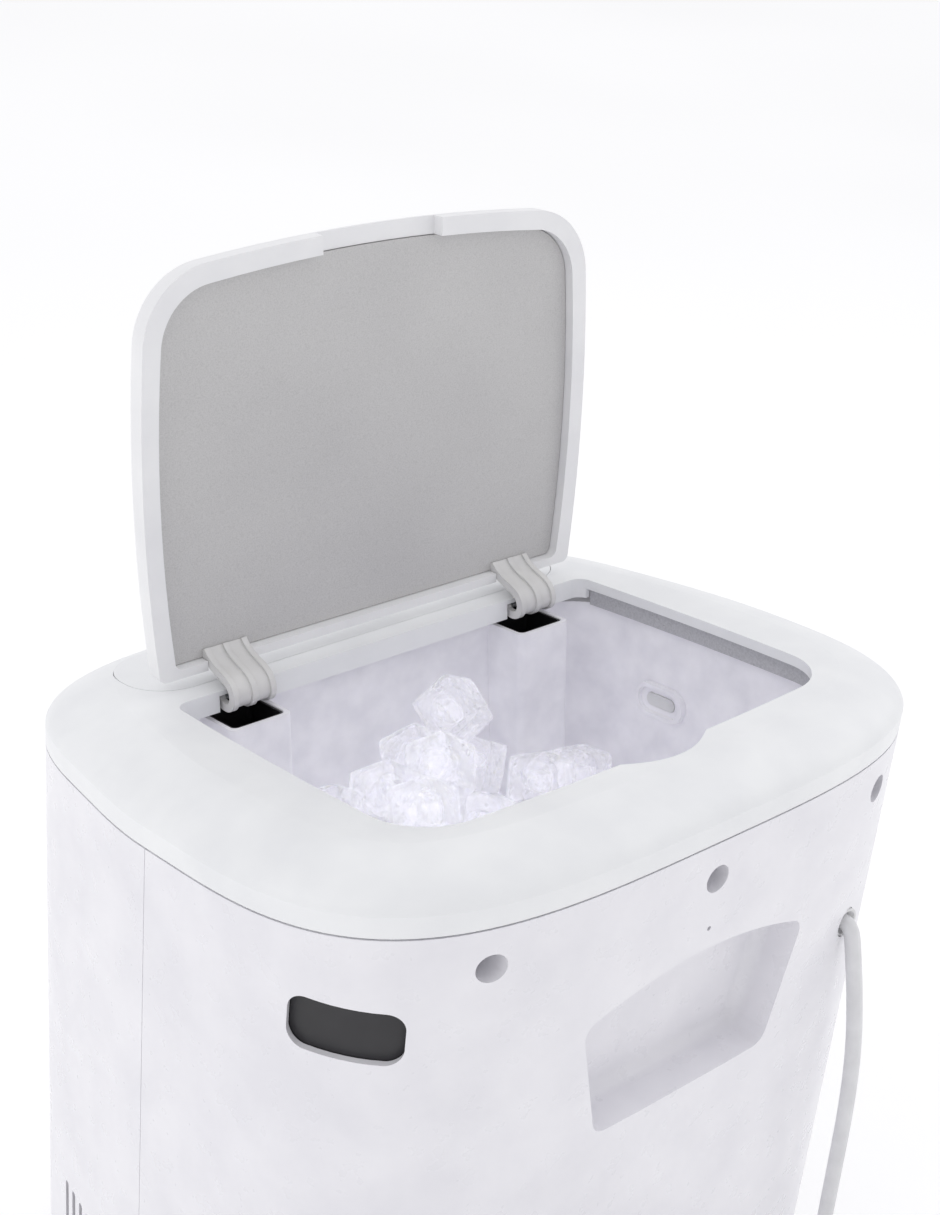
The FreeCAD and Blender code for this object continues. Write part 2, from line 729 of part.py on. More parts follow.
def makePocketLiners():
    half = size("pocketWidth") / 2 - gap
    reach = size("pocketReach") - gap
    top = size("binRimDrop")
    floor = -(top + size("pocketDepth")) + gap
    back = -size("binFront") - 4
    made = []
    for side in (-1, 1):
        x = side * size("armOffset")
        cup = roundedPlate(x - half, x + half, back, reach, 2.4, floor, -top - 0.4)
        cup = cup.fuse(solidBox(x - half, x + half, back, back + 3, -top - 2, -5.2))
        cup = cup.cut(roundedPlate(x - half + 1, x + half - 1, back + 1, reach - 1, 1.6, floor + 1, 5))
        made.append(cup)
    feature("pocket_liners", Part.makeCompound([s for m in made for s in m.Solids]), topFrame)


def makeSeal():
    """Grey foam strip between the cover and the bin's rim, on the three sides away from the hinge."""
    top = 4.6
    low = size("binRimDrop")
    ring = openingPrism(7.2, -low, -top).cut(openingPrism(2.2, -low - 1, 0))
    bulge = scoopPrism(7.2, -low, -top).cut(openingPrism(2.2, -low - 1, 0)).cut(scoopPrism(2.2, -low - 1, 0))
    ring = ring.fuse(bulge).cut(scoopPrism(2.2, -low - 1, 0))
    ring = ring.cut(solidBox(-200, 200, -30, 4.4, -20, 1))
    feature("bin_seal", ring, topFrame)


def makeSensor():
    ring = sensorOval(14.5, 8.0, 0.0, 3.0).fuse(sensorOval(11.1, 5.1, -6.0, 0.1))
    ring = ring.cut(sensorOval(12.2, 5.8, 0.8, 4)).cut(sensorOval(8.6, 3.2, -4.6, 4))
    half = binForm(0, size("binRimDrop"), size("binRimDrop") + size("binDepth"))
    ring = ring.common(half.fuse(sensorOval(11.1, 5.1, -6.0, 0.5)))
    feature("sensor_housing", ring, topFrame)
    feature("sensor_eye", sensorOval(8.4, 3.0, -4.6, 1.4), topFrame)


def makeFoam():
    top = size("binRimDrop") + 4.5
    bottom = size("binRimDrop") + size("binDepth")
    sideWall = size("binWall") + size("foamWall")
    outer = binForm(sideWall, top, bottom + size("foamWall"))
    inner = binForm(size("binWall") + gap, top - 1, bottom + gap)
    foam = outer.cut(inner)
    foam = foam.cut(solidBox(-300, 300, -60, 19, -400, 50))
    window = sensorOval(13, 7, -40, 10)
    foam = inTop(foam).cut(inTop(window))
    foam = foam.cut(handleCavity(wall + 1, size("handleDepth") + wall + 1))
    for x in (-size("wellSpacing"), 0, size("wellSpacing")):
        z = topHeight(rearYAt(x), size("seamDrop") + 17)
        foam = foam.cut(rod(Vector(x, 90, z), Vector(x, 150, z), size("wellRadius") + 3.2))
    foam = foam.cut(rod(Vector(size("cordX"), 90, size("cordZ")), Vector(size("cordX"), 150, size("cordZ")), 8.5))
    feature("bin_foam", foam)


def makePosts():
    radius = 6.0
    top = size("binRimDrop") + size("binDepth") + size("foamWall")
    posts = []
    for x, y in ((116, -4), (-48, -6.5), (2, 92), (-92, 64)):
        post = rod(Vector(x, y, size("footHeight") + 2.5), Vector(x, y, 300), radius)
        posts.append(post.common(topSlab(-bigLength / 2, -top)))
    feature("bin_posts", Part.makeCompound([s for p in posts for s in p.Solids]))


# ---------------------------------------------------------------- control panel
def buttonPlaces():
    middle = -size("panelNear") - size("panelDepth") / 2
    spacing = size("buttonSpacing")
    return {
        "button_power": Vector(spacing, middle, 0),
        "button_select": Vector(-spacing, middle, 0),
        "button_clean": Vector(-spacing - 27, middle, 0),
    }


lensHalf = Vector(26, 9.5, 0)


def makePanel():
    thickness = size("panelThickness")
    middle = -size("panelNear") - size("panelDepth") / 2
    plate = panelPlate(0, -thickness, 0)
    holes = [roundedPlate(-lensHalf.x, lensHalf.x, middle - lensHalf.y, middle + lensHalf.y, 4, -5, 5)]
    for place in buttonPlaces().values():
        holes.append(rod(place + Vector(0, 0, -5), place + Vector(0, 0, 5), size("buttonRadius") + 0.25))
    plate = plate.cut(holes)
    posts = []
    for x in (-98, 98):
        for y in (middle - 8, middle + 8):
            posts.append(rod(Vector(x, y, -9.0), Vector(x, y, -thickness), 2.6))
    frame = roundedPlate(-lensHalf.x - 2, lensHalf.x + 2, middle - lensHalf.y - 2, middle + lensHalf.y + 2, 5,
                         -4.4, -thickness)
    frame = frame.cut(roundedPlate(-lensHalf.x + 2, lensHalf.x - 2, middle - lensHalf.y + 2, middle + lensHalf.y - 2,
                                   3, -6, 0))
    feature("control_panel", plate.fuse(posts + [frame]), topFrame)
    lens = roundedPlate(-lensHalf.x + 0.25, lensHalf.x - 0.25, middle - lensHalf.y + 0.25, middle + lensHalf.y - 0.25,
                        3.8, -thickness, -0.1)
    feature("display_window", lens, topFrame)


def makeButtons():
    switches = []
    for name, place in buttonPlaces().items():
        cap = rod(place + Vector(0, 0, -3.4), place + Vector(0, 0, 0.9), size("buttonRadius"))
        cap = cap.makeFillet(0.8, edgesAt(cap, 0.9))
        flange = rod(place + Vector(0, 0, -4.0), place + Vector(0, 0, -size("panelThickness") - 0.3),
                     size("buttonRadius") + 1.6)
        stem = rod(place + Vector(0, 0, -6.4), place + Vector(0, 0, -3), 1.8)
        feature(name, cap.fuse([flange, stem]), topFrame)
        switches.append(solidBox(place.x - 3, place.x + 3, place.y - 3, place.y + 3, -9.0, -6.4 - 1.35))
    feature("tact_switches", Part.makeCompound(switches), topFrame)


def makeBoard():
    """The control board, as a sketched plate with its mounting holes pocketed."""
    body = doc.addObject("PartDesign::Body", "ControlBoard")
    plane = [f for f in body.Origin.OriginFeatures if f.Role == "XY_Plane"][0]
    middle = -size("panelNear") - size("panelDepth") / 2
    outlineSketch = body.newObject("Sketcher::SketchObject", "BoardOutline")
    outlineSketch.AttachmentSupport = [(plane, "")]
    outlineSketch.MapMode = "FlatFace"
    corners = [Vector(-104, middle - 15, 0), Vector(104, middle - 15, 0),
               Vector(104, middle + 15, 0), Vector(-104, middle + 15, 0)]
    for a, b in zip(corners, corners[1:] + corners[:1]):
        outlineSketch.addGeometry(Part.LineSegment(a, b), False)
    pad = body.newObject("PartDesign::Pad", "BoardPad")
    pad.Profile = outlineSketch
    bind(pad, Length="boardThickness")
    holeSketch = body.newObject("Sketcher::SketchObject", "BoardHoles")
    holeSketch.AttachmentSupport = [(plane, "")]
    holeSketch.MapMode = "FlatFace"
    for x in (-70, 70):
        holeSketch.addGeometry(Part.Circle(Vector(x, middle, 0), Vector(0, 0, 1), 1.6), False)
    pocket = body.newObject("PartDesign::Pocket", "BoardPocket")
    pocket.Profile = holeSketch
    pocket.Type = 1
    pocket.Reversed = True
    body.Placement = topFrame.multiply(Placement(Vector(0, 0, -9.0 - size("boardThickness")), Rotation()))
    node("control_board", body)


# ---------------------------------------------------------------- making ice
gridColumns = 8
gridRows = 3


def gridHalf():
    return (gridColumns * (size("cubeSize") + size("gridWall")) + size("gridWall")) / 2


def gridTop():
    return size("gridBottom") + gridRows * (size("cubeSize") + size("gridWall")) + size("gridWall")


def makeGrid():
    pitch = size("cubeSize") + size("gridWall")
    face = -size("gridFace")
    back = face - size("gridDepth")
    half = gridHalf()
    block = solidBox(-size("frameInset"), size("frameInset"), back, face, size("gridBottom"), gridTop())
    cells = []
    for i in range(gridColumns):
        for j in range(gridRows):
            x = -half + size("gridWall") + i * pitch
            z = size("gridBottom") + size("gridWall") + j * pitch
            cells.append(solidBox(x, x + size("cubeSize"), back + 2, face + 1, z, z + size("cubeSize")))
    feature("evaporator_grid", block.cut(cells))


def arcPath(points, radii=None):
    """Straight runs joined by tangent arcs."""
    edges = []
    start = points[0]
    for i in range(1, len(points) - 1):
        before, corner, after = points[i - 1], points[i], points[i + 1]
        a = before - corner
        b = after - corner
        turn = math.pi - a.getAngle(b)
        shorter = min(a.Length, b.Length)
        radius = radii if radii else 0.45 * shorter / math.tan(turn / 2)
        trim = radius * math.tan(turn / 2)
        a.normalize()
        b.normalize()
        first = corner + a * trim
        last = corner + b * trim
        middleAxis = (a + b).normalize()
        centre = corner + middleAxis * (radius / math.cos(turn / 2))
        middle = centre - middleAxis * radius
        if (first - start).Length > 1e-6:
            edges.append(Part.LineSegment(start, first).toShape())
        edges.append(Part.Arc(first, middle, last).toShape())
        start = last
    edges.append(Part.LineSegment(start, points[-1]).toShape())
    return Part.Wire(edges)


def tube(points, radius, bend=None):
    path = arcPath(points, bend)
    direction = points[1] - points[0]
    circle = Part.Wire([Part.Circle(points[0], direction, radius).toShape()])
    swept = Part.BRepOffsetAPI.MakePipeShell(path)
    swept.setFrenetMode(True)
    swept.add(circle)
    swept.setTransitionMode(1)
    swept.build()
    swept.makeSolid()
    return swept.shape()


def makeCoil():
    radius = size("coilRadius")
    y = -size("gridFace") - size("gridDepth") - radius
    levels = [size("gridBottom") + 8 + 15.6 * i for i in range(5)]
    points = [Vector(-96, y, levels[0])]
    for i, z in enumerate(levels):
        reach = 80 if i % 2 == 0 else -80
        points.append(Vector(reach, y, z))
        if i + 1 < len(levels):
            points.append(Vector(reach, y, levels[i + 1]))
    points[-1] = Vector(96, y, levels[-1])
    feature("evaporator_coil", tube(points, radius, 7.0))


def makeDistributor():
    y = -size("gridFace") - size("gridDepth") / 2
    z = gridTop() + 10
    outer = rod(Vector(-98, y, z), Vector(104, y, z), 6)
    inner = rod(Vector(-95, y, z), Vector(110, y, z), 4.6)
    jets = []
    for i in range(gridColumns * 2):
        x = -86 + i * 11.5
        jets.append(rod(Vector(x, y, z), Vector(x, y + 12, z - 3), 0.9))
    saddle = solidBox(-96, 96, y - 2, y + 2, gridTop(), z - 4.8)
    feature("water_distributor", outer.fuse(saddle).cut([inner] + jets))


curtainY = -size("gridFace") + 5.0
curtainTop = 301.0


def makeCurtain():
    half = size("frameInset") - 2.5
    thickness = size("curtainThickness")
    plate = solidBox(-half, half, curtainY, curtainY + thickness, size("gridBottom") - 8, curtainTop)
    ribs = []
    for i in range(7):
        x = -84 + 28.0 * i
        ribs.append(solidBox(x - 0.8, x + 0.8, curtainY + thickness - 0.1, curtainY + thickness + 2.4,
                             size("gridBottom") - 4, curtainTop - 8))
    axis = Vector(0, curtainY + thickness / 2, curtainTop)
    bar = rod(axis - Vector(half, 0, 0), axis + Vector(half, 0, 0), 2.2)
    ends = rod(axis - Vector(size("frameInset") + 2, 0, 0), axis + Vector(size("frameInset") + 2, 0, 0), 1.4)
    feature("ice_curtain", plate.fuse(ribs + [bar, ends]))


def makeFrames():
    inner = size("frameInset")
    outer = inner + size("frameThickness")
    base = size("footHeight") + 2.5
    made = []
    for side in (-1, 1):
        low, high = sorted((side * inner, side * outer))
        plate = solidBox(low, high, -size("gridFace") - size("gridDepth"), -72, base, 306)
        bearing = Vector(0, curtainY + size("curtainThickness") / 2, curtainTop)
        holes = [rod(bearing + Vector(low - 5, 0, 0), bearing + Vector(high + 5, 0, 0), 1.45)]
        distributor = Vector(0, -size("gridFace") - size("gridDepth") / 2, gridTop() + 10)
        holes.append(rod(distributor + Vector(low - 5, 0, 0), distributor + Vector(high + 5, 0, 0), 6.1))
        window = solidBox(low - 1, high + 1, -106, -76, 20, 92)
        holes.append(window.makeFillet(5, verticalEdges(window, Vector(1, 0, 0))))
        made.append(plate.cut(holes))
    feature("side_frames", Part.makeCompound([s for m in made for s in m.Solids]))


def makeRamp():
    """Slotted slide: ice runs down it into the bin, water drips through."""
    half = size("frameInset") - gap
    high = Vector(0, -115, 206)
    low = Vector(0, -44, size("slotBottom") + 1.5)
    along = low - high
    thickness = 2.0
    angle = math.degrees(math.atan2(along.z, along.y))
    plate = Part.makeBox(2 * half, along.Length, thickness, Vector(-half, 0, 0))
    slots = []
    for i in range(16):
        x = -88.5 + 11.8 * i
        slots.append(Part.makeBox(5, along.Length - 22, 6, Vector(x - 2.5, 8, -2)))
    plate = plate.cut(slots)
    narrow = [solidBox(-half - 1, -92, 43, 90, -5, 10), solidBox(92, half + 1, 43, 90, -5, 10)]
    plate = plate.cut(narrow)
    plate.Placement = Placement(high, Rotation(Vector(1, 0, 0), angle))
    feature("ice_ramp", plate)


def makeSump():
    half = size("frameInset") - gap
    low = size("sumpFloor")
    high = low + size("sumpDepth")
    outer = solidBox(-half, half, -114, -14, low, high)
    outer = outer.makeFillet(5, verticalEdges(outer))
    inner = solidBox(-half + 2, half - 2, -112, -16, low + 2, high + 1)
    inner = inner.makeFillet(3.4, verticalEdges(inner))
    outlet = rod(Vector(84, -93, low - 8), Vector(84, -93, low + 1), 5.5)
    feature("water_sump", outer.cut(inner).fuse(outlet).cut(rod(Vector(84, -93, low - 9), Vector(84, -93, low + 3), 3.6)))


pumpAxis = Vector(118, -86, 0)


def makePump():
    base = size("footHeight") + 2.5
    body = rod(pumpAxis + Vector(0, 0, base), pumpAxis + Vector(0, 0, base + 36), 15.5)
    chamber = rod(pumpAxis + Vector(0, 0, base + 22), pumpAxis + Vector(0, 0, base + 33), 12)
    outlet = rod(pumpAxis + Vector(0, 0, base + 35), pumpAxis + Vector(0, 0, base + 46), 4.6)
    outletBore = rod(pumpAxis + Vector(0, 0, base + 32), pumpAxis + Vector(0, 0, base + 50), 3.0)
    inlet = rod(pumpAxis + Vector(-22, 0, base + 27.5), pumpAxis + Vector(-12, 0, base + 27.5), 4.6)
    inletBore = rod(pumpAxis + Vector(-24, 0, base + 27.5), pumpAxis + Vector(-10, 0, base + 27.5), 3.0)
    shaft = rod(pumpAxis + Vector(0, 0, base + 20), pumpAxis + Vector(0, 0, base + 30), 1.5)
    shell = body.fuse([outlet, inlet]).cut([chamber, outletBore, inletBore]).fuse(shaft)
    feature("water_pump", shell)
    hub = rod(pumpAxis + Vector(0, 0, base + 24), pumpAxis + Vector(0, 0, base + 30), 4)
    vanes = []
    for i in range(6):
        vane = solidBox(3, 10.5, -0.6, 0.6, base + 24, base + 30)
        vane.rotate(Vector(0, 0, 0), Vector(0, 0, 1), 60 * i)
        vane.translate(pumpAxis)
        vanes.append(vane)
    disc = rod(pumpAxis + Vector(0, 0, base + 23.4), pumpAxis + Vector(0, 0, base + 24.6), 10.5)
    wheel = hub.fuse(vanes + [disc])
    bore = rod(pumpAxis + Vector(0, 0, base + 20), pumpAxis + Vector(0, 0, base + 40), 1.55)
    feature("pump_impeller", wheel.cut(bore))


def makeHoses():
    base = size("footHeight") + 2.5
    start = pumpAxis + Vector(0, 0, base + 46)
    spray = Vector(104, -size("gridFace") - size("gridDepth") / 2, gridTop() + 10)
    feature("delivery_hose", tube([start, Vector(start.x, start.y, spray.z - 26), Vector(119, spray.y, spray.z), spray],
                                  4.6, 11.0))
    inletZ = base + 27.5
    sumpPort = Vector(84, -93, size("sumpFloor") - 8)
    feature("inlet_hose", tube([sumpPort, Vector(84, -93, inletZ + 22), Vector(85, -88, inletZ),
                                Vector(pumpAxis.x - 22, pumpAxis.y, inletZ)], 4.6))


# ---------------------------------------------------------------- cold circuit
def makeCompressor():
    base = cylinder("CompressorCan", "compressorRadius", "compressorHeight - 24",
                    "compressorX", "compressorY", "footHeight + 2.5 + 12")
    dome = primitive("Sphere", "CompressorDome", Radius="compressorRadius",
                     Placement__Base__x="compressorX", Placement__Base__y="compressorY",
                     Placement__Base__z="footHeight + 2.5 + 12 + compressorHeight - 24")
    limit = cylinder("DomeLimit", "compressorRadius + 1", "compressorRadius * 0.30",
                     "compressorX", "compressorY", "footHeight + 2.5 + 12 + compressorHeight - 24.01")
    lens = doc.addObject("Part::Common", "CompressorCrown")
    lens.Base = dome
    lens.Tool = limit
    foot = box("CompressorFoot", "2 * compressorRadius - 24", "2 * compressorRadius - 24", "3",
               "compressorX - compressorRadius + 12", "compressorY - compressorRadius + 12", "footHeight + 2.5 + 9.2")
    node("compressor", fuse("CompressorBody", base, lens, foot))
    mounts = []
    for i, (a, b) in enumerate(((-1, -1), (1, -1), (-1, 1), (1, 1))):
        mounts.append(cylinder("Mount%d" % i, "6.5", "9.2",
                               "compressorX + %d * (compressorRadius - 20)" % a,
                               "compressorY + %d * (compressorRadius - 20)" % b, "footHeight + 2.5"))
    node("compressor_mounts", group("CompressorMounts", *mounts))


def condenserTubePoints():
    base = size("footHeight") + 2.5
    x = -size("condenserX")
    y = size("condenserY")
    reach = size("finSpan") / 2 + 9
    levels = [base + 14 + 20.0 * i for i in range(5)]
    points = [Vector(x, y + reach + 2, levels[0])]
    for i, z in enumerate(levels):
        end = y - reach + 3 if i % 2 == 0 else y + reach - 3
        points.append(Vector(x, end, z))
        if i + 1 < len(levels):
            points.append(Vector(x, end, levels[i + 1]))
    points[-1] = Vector(x, y - reach - 1, levels[-1])
    return points


def makeCondenser():
    base = size("footHeight") + 2.5
    x0 = -size("condenserX") - size("finDepth") / 2
    x1 = x0 + size("finDepth")
    y0 = size("condenserY") - size("finSpan") / 2
    y1 = y0 + size("finSpan")
    count = int(size("finSpan") / size("finPitch"))
    fins = []
    for i in range(count + 1):
        y = y0 + i * size("finPitch")
        fins.append(solidBox(x0, x1, y, y + size("finThickness"), base + 1, base + size("finHeight")))
    plates = [solidBox(x0, x1, y0, y1 + size("finThickness"), base, base + 1.2),
              solidBox(x0, x1, y0, y1 + size("finThickness"), base + size("finHeight") - 1.2, base + size("finHeight"))]
    block = fins[0].fuse(fins[1:] + plates)
    feature("condenser_fins", block.cut(tube(condenserTubePoints(), size("lineRadius") + 0.1, 9.0)))
    feature("condenser_tube", tube(condenserTubePoints(), size("lineRadius"), 9.0))


def fanCentre():
    return Vector(-size("condenserX") + size("finDepth") / 2, size("condenserY"),
                  size("footHeight") + 2.5 + size("finHeight") / 2)


def makeFan():
    middle = fanCentre()
    half = size("finHeight") / 2
    plateX = middle.x
    base = size("footHeight") + 2.5
    plate = solidBox(plateX, plateX + 2, middle.y - half, middle.y + half, base, base + size("finHeight"))
    ringOuter = rod(Vector(plateX, middle.y, middle.z), Vector(plateX + 16, middle.y, middle.z), size("fanRadius") + 3.6)
    hole = rod(Vector(plateX - 2, middle.y, middle.z), Vector(plateX + 30, middle.y, middle.z), size("fanRadius") + 1.8)
    shroud = plate.fuse(ringOuter).cut(hole)
    motorFace = plateX + 18
    arms = []
    for i in range(3):
        arm = solidBox(motorFace, motorFace + 3, -3, 3, 12, size("fanRadius") + 3)
        arm.rotate(Vector(0, 0, 0), Vector(1, 0, 0), 120 * i)
        arm.translate(Vector(0, middle.y, middle.z))
        arms.append(arm)
    lugs = []
    for i in range(3):
        lug = solidBox(plateX + 8, motorFace + 3, -3, 3, size("fanRadius") + 2, size("fanRadius") + 3.5)
        lug.rotate(Vector(0, 0, 0), Vector(1, 0, 0), 120 * i)
        lug.translate(Vector(0, middle.y, middle.z))
        lugs.append(lug)
    seat = rod(Vector(motorFace, middle.y, middle.z), Vector(motorFace + 3, middle.y, middle.z), 15)
    shaftHole = rod(Vector(motorFace - 1, middle.y, middle.z), Vector(motorFace + 5, middle.y, middle.z), 4)
    feature("fan_shroud", shroud.fuse(arms + lugs + [seat]).cut(shaftHole))
    can = rod(Vector(motorFace + 3, middle.y, middle.z), Vector(motorFace + 25, middle.y, middle.z), 17)
    can = can.makeFillet(2, [e for e in can.Edges if abs(e.BoundBox.XMax - e.BoundBox.XMin) < 1e-4])
    shaft = rod(Vector(plateX + 3, middle.y, middle.z), Vector(motorFace + 4, middle.y, middle.z), size("shaftRadius"))
    feature("fan_motor", can.fuse(shaft))


def makeFanBlades():
    """Hub and one blade, repeated round the hub by a polar pattern, on the shaft's axis."""
    body = doc.addObject("PartDesign::Body", "FanBlades")
    plane = [f for f in body.Origin.OriginFeatures if f.Role == "XY_Plane"][0]
    axis = [f for f in body.Origin.OriginFeatures if f.Role == "Z_Axis"][0]
    hubSketch = body.newObject("Sketcher::SketchObject", "HubSketch")
    hubSketch.AttachmentSupport = [(plane, "")]
    hubSketch.MapMode = "FlatFace"
    hubSketch.addGeometry(Part.Circle(Vector(0, 0, 0), Vector(0, 0, 1), size("fanHub")), False)
    hubSketch.addGeometry(Part.Circle(Vector(0, 0, 0), Vector(0, 0, 1), size("shaftRadius") + 0.05), False)
    hub = body.newObject("PartDesign::Pad", "Hub")
    hub.Profile = hubSketch
    hub.Length = 11
    bladeSketch = body.newObject("Sketcher::SketchObject", "BladeSketch")
    bladeSketch.AttachmentSupport = [(plane, "")]
    bladeSketch.MapMode = "FlatFace"
    inner = size("fanHub") - 2
    outer = size("fanRadius")
    corners = [Vector(inner, -6, 0), Vector(outer - 3, -13, 0), Vector(outer - 1, 8, 0), Vector(inner, 5, 0)]
    for a, b in zip(corners, corners[1:] + corners[:1]):
        bladeSketch.addGeometry(Part.LineSegment(a, b), False)
    blade = body.newObject("PartDesign::Pad", "Blade")
    blade.Profile = bladeSketch
    blade.Length = 2
    doc.recompute()
    pattern = body.newObject("PartDesign::PolarPattern", "BladePattern")
    pattern.Originals = [blade]
    pattern.Axis = (axis, [""])
    pattern.Angle = 360
    pattern.Occurrences = 7
    body.Tip = pattern
    middle = fanCentre()
    body.Placement = Placement(Vector(middle.x + 4, middle.y, middle.z), Rotation(Vector(0, 0, 1), Vector(1, 0, 0)))
    node("fan_blades", body)


def makeLines():
    radius = size("lineRadius")
    cx, cy, cr = size("compressorX"), size("compressorY"), size("compressorRadius")
    coilY = -size("gridFace") - size("gridDepth") - size("coilRadius")
    port = Vector(cx - cr * 0.7071, cy - cr * 0.7071, 60)
    feature("suction_line", tube([Vector(-96, coilY, size("gridBottom") + 8), Vector(-110, coilY, size("gridBottom") + 8),
                                  Vector(-113, -106, 190), Vector(-112, -86, 74), Vector(-96, -54, 46),
                                  Vector(-20, -20, 48), port + Vector(-8, -8, 0), port], radius))
    hot = Vector(cx - cr - 0.1, cy, 104)
    top = condenserTubePoints()[-1]
    feature("discharge_line", tube([hot, Vector(cx - cr - 16, cy, 106), Vector(-40, 44, 122), Vector(-70, 8, 127),
                                    Vector(-106, -10, 124), Vector(-124, -34, 114),
                                    Vector(top.x, top.y - 14, top.z), top], radius))
    bottom = condenserTubePoints()[0]
    dryStart = Vector(-96, 86, 25)
    feature("liquid_line", tube([bottom, Vector(bottom.x, 99, bottom.z), Vector(-122, 99, 25), Vector(-112, 86, 25),
                                 dryStart], radius, 4.0))
    shell = rod(dryStart, Vector(-52, 86, 25), 8)
    feature("filter_drier", shell.makeFillet(3.5, [e for e in shell.Edges if abs(e.BoundBox.XLength) < 1e-4]))
    coilEnd = Vector(96, coilY, size("gridBottom") + 8 + 15.6 * 4)
    feature("capillary_line", tube([Vector(-52, 86, 25), Vector(-38, 86, 25), Vector(-20, 100, 25), Vector(40, 124, 26),
                                    Vector(112, 110, 30), Vector(138, 56, 44), Vector(146, 0, 80),
                                    Vector(139, -58, 132), Vector(124, -100, 190), Vector(118, -112, 258),
                                    Vector(110, coilY, coilEnd.z), coilEnd], size("capillaryRadius")))


def makePowerBoard():
    plate = box("PowerPlate", "92", "62", "boardThickness", "-52", "-100", "footHeight + 2.5 + 5")
    pieces = [plate]
    for i, (x, y, w, d, t) in enumerate(((-46, -94, 34, 28, 24), (-6, -94, 18, 14, 16), (16, -92, 16, 22, 12),
                                         (-44, -58, 24, 14, 18), (-10, -62, 10, 10, 20))):
        pieces.append(box("PowerPart%d" % i, str(w), str(d), str(t), str(x), str(y),
                          "footHeight + 2.5 + 5 + boardThickness"))
    for i, (x, y) in enumerate(((-48, -96), (36, -96), (-48, -42), (36, -42))):
        pieces.append(cylinder("PowerPost%d" % i, "2.6", "5", str(x), str(y), "footHeight + 2.5"))
    node("power_board", fuse("PowerBoard", *pieces))


# ---------------------------------------------------------------- drain, lead and plug
def makeDrain():
    y = rearYAt(-70)
    start = Vector(-70, y - 26, 34)
    mouth = Vector(-70, y - 6.5, 34)
    outer = size("drainRadius")
    port = rod(start, mouth, outer).cut(rod(start + Vector(0, 3, 0), mouth + Vector(0, 1, 0), outer - 2))
    saddle = solidBox(-74, -66, start.y, start.y + 12, size("footHeight") + 2.5, 34 - outer + 1.5)
    feature("drain_port", port.fuse(saddle))
    plug = rod(mouth + Vector(0, -10, 0), mouth + Vector(0, 0.1, 0), outer - 2.15)
    head = rod(mouth + Vector(0, 0.1, 0), mouth + Vector(0, 3.4, 0), outer + 1.6)
    grip = solidBox(-71.6, -68.4, mouth.y + 3, mouth.y + 8, 34 - 7.5, 34 + 7.5)
    feature("drain_cap", head.fuse([plug, grip]))


cordRadius = size("cordDiameter") / 2
exitFace = rearYAt(size("cordX"))
floorZ = cordRadius + 0.3
hangY = exitFace + 17.0
leadRoute = [
    Vector(size("cordX"), exitFace - 9.5, size("cordZ")),
    Vector(size("cordX"), exitFace + 3.5, size("cordZ") - 0.5),
    Vector(-99.6, exitFace + 7.0, 243),
    Vector(-100.6, exitFace + 11.0, 225),
    Vector(-102.0, exitFace + 15.0, 200),
    Vector(-103.0, exitFace + 17.0, 170),
    Vector(-104.5, exitFace + 17.0, 134),
    Vector(-106.0, exitFace + 17.0, 92),
    Vector(-107.0, hangY + 0.6, 52),
    Vector(-108.0, hangY + 9.4, 29.7),
    Vector(-109.5, hangY + 26.0, 12.8),
    Vector(-111.0, hangY + 48.1, floorZ),
    Vector(-112.8, hangY + 72.0, floorZ + 0.1),
    Vector(-111.0, hangY + 94.0, floorZ + 0.4),
]
coilCentre = Vector(-72, hangY + 96, 0)
coilMiddle = 39.0


def makeGland():
    face = exitFace
    x, z = size("cordX"), size("cordZ")
    neck = rod(Vector(x, face - 7, z), Vector(x, face + 0.2, z), 6.3)
    flare = rod(Vector(x, face - 9.5, z), Vector(x, face - 6.5, z), 7.6)
    sleeve = Part.makeCone(cordRadius + 1.3, 6.2, 14.0, Vector(x, face - 23, z), Vector(0, 1, 0))
    bore = rod(Vector(x, face - 30, z), Vector(x, face + 20, z), cordRadius + 0.05)
    mouth = Part.makeCone(cordRadius, cordRadius + 2.2, 4.0, Vector(x, face - 3.2, z), Vector(0, 1, 0))
    feature("cord_gland", neck.fuse([flare, sleeve]).cut(bore).cut(mouth))


def printBends(name, route):
    for i in range(1, len(route) - 1):
        a = route[i - 1] - route[i]
        b = route[i + 1] - route[i]
        turn = math.pi - a.getAngle(b)
        radius = 0.45 * min(a.Length, b.Length) / math.tan(turn / 2)
        print("%s point %d: turn %.1f, radius %.1f" % (name, i, math.degrees(turn), radius))
    length = arcPath(route).Length
    volume = tube(route, cordRadius).Volume
    print("%s length %.1f, volume share %.4f" % (name, length, volume / (math.pi * cordRadius ** 2 * length)))


plugMiddle = Vector(coilCentre.x + 66, coilCentre.y - 30, 11.3)
tailRoute = [
    plugMiddle + Vector(0, 31, 0),
    Vector(plugMiddle.x, coilCentre.y + 22.7, 11.2),
    Vector(coilCentre.x + 55.3, coilCentre.y + 41.3, 9.0),
    Vector(coilCentre.x + 36.7, coilCentre.y + 52.0, 7.0),
    Vector(coilCentre.x + 17.0, coilCentre.y + 51.5, 6.0),
    Vector(coilCentre.x - 1.0, coilCentre.y + 45.0, 6.4),
]


def makeCord():
    printBends("lead", leadRoute)
    printBends("tail", tailRoute)
    lead = tube(leadRoute, cordRadius)
    tail = tube(tailRoute, cordRadius)
    feature("cord_lead", lead)
    feature("cord_tail", tail)
    outer = rod(coilCentre + Vector(0, 0, 0.3), coilCentre + Vector(0, 0, 14.3), coilMiddle + 11)
    inner = rod(coilCentre, coilCentre + Vector(0, 0, 20), coilMiddle - 11)
    feature("cord_coil", outer.cut(inner).cut([lead, tail]))


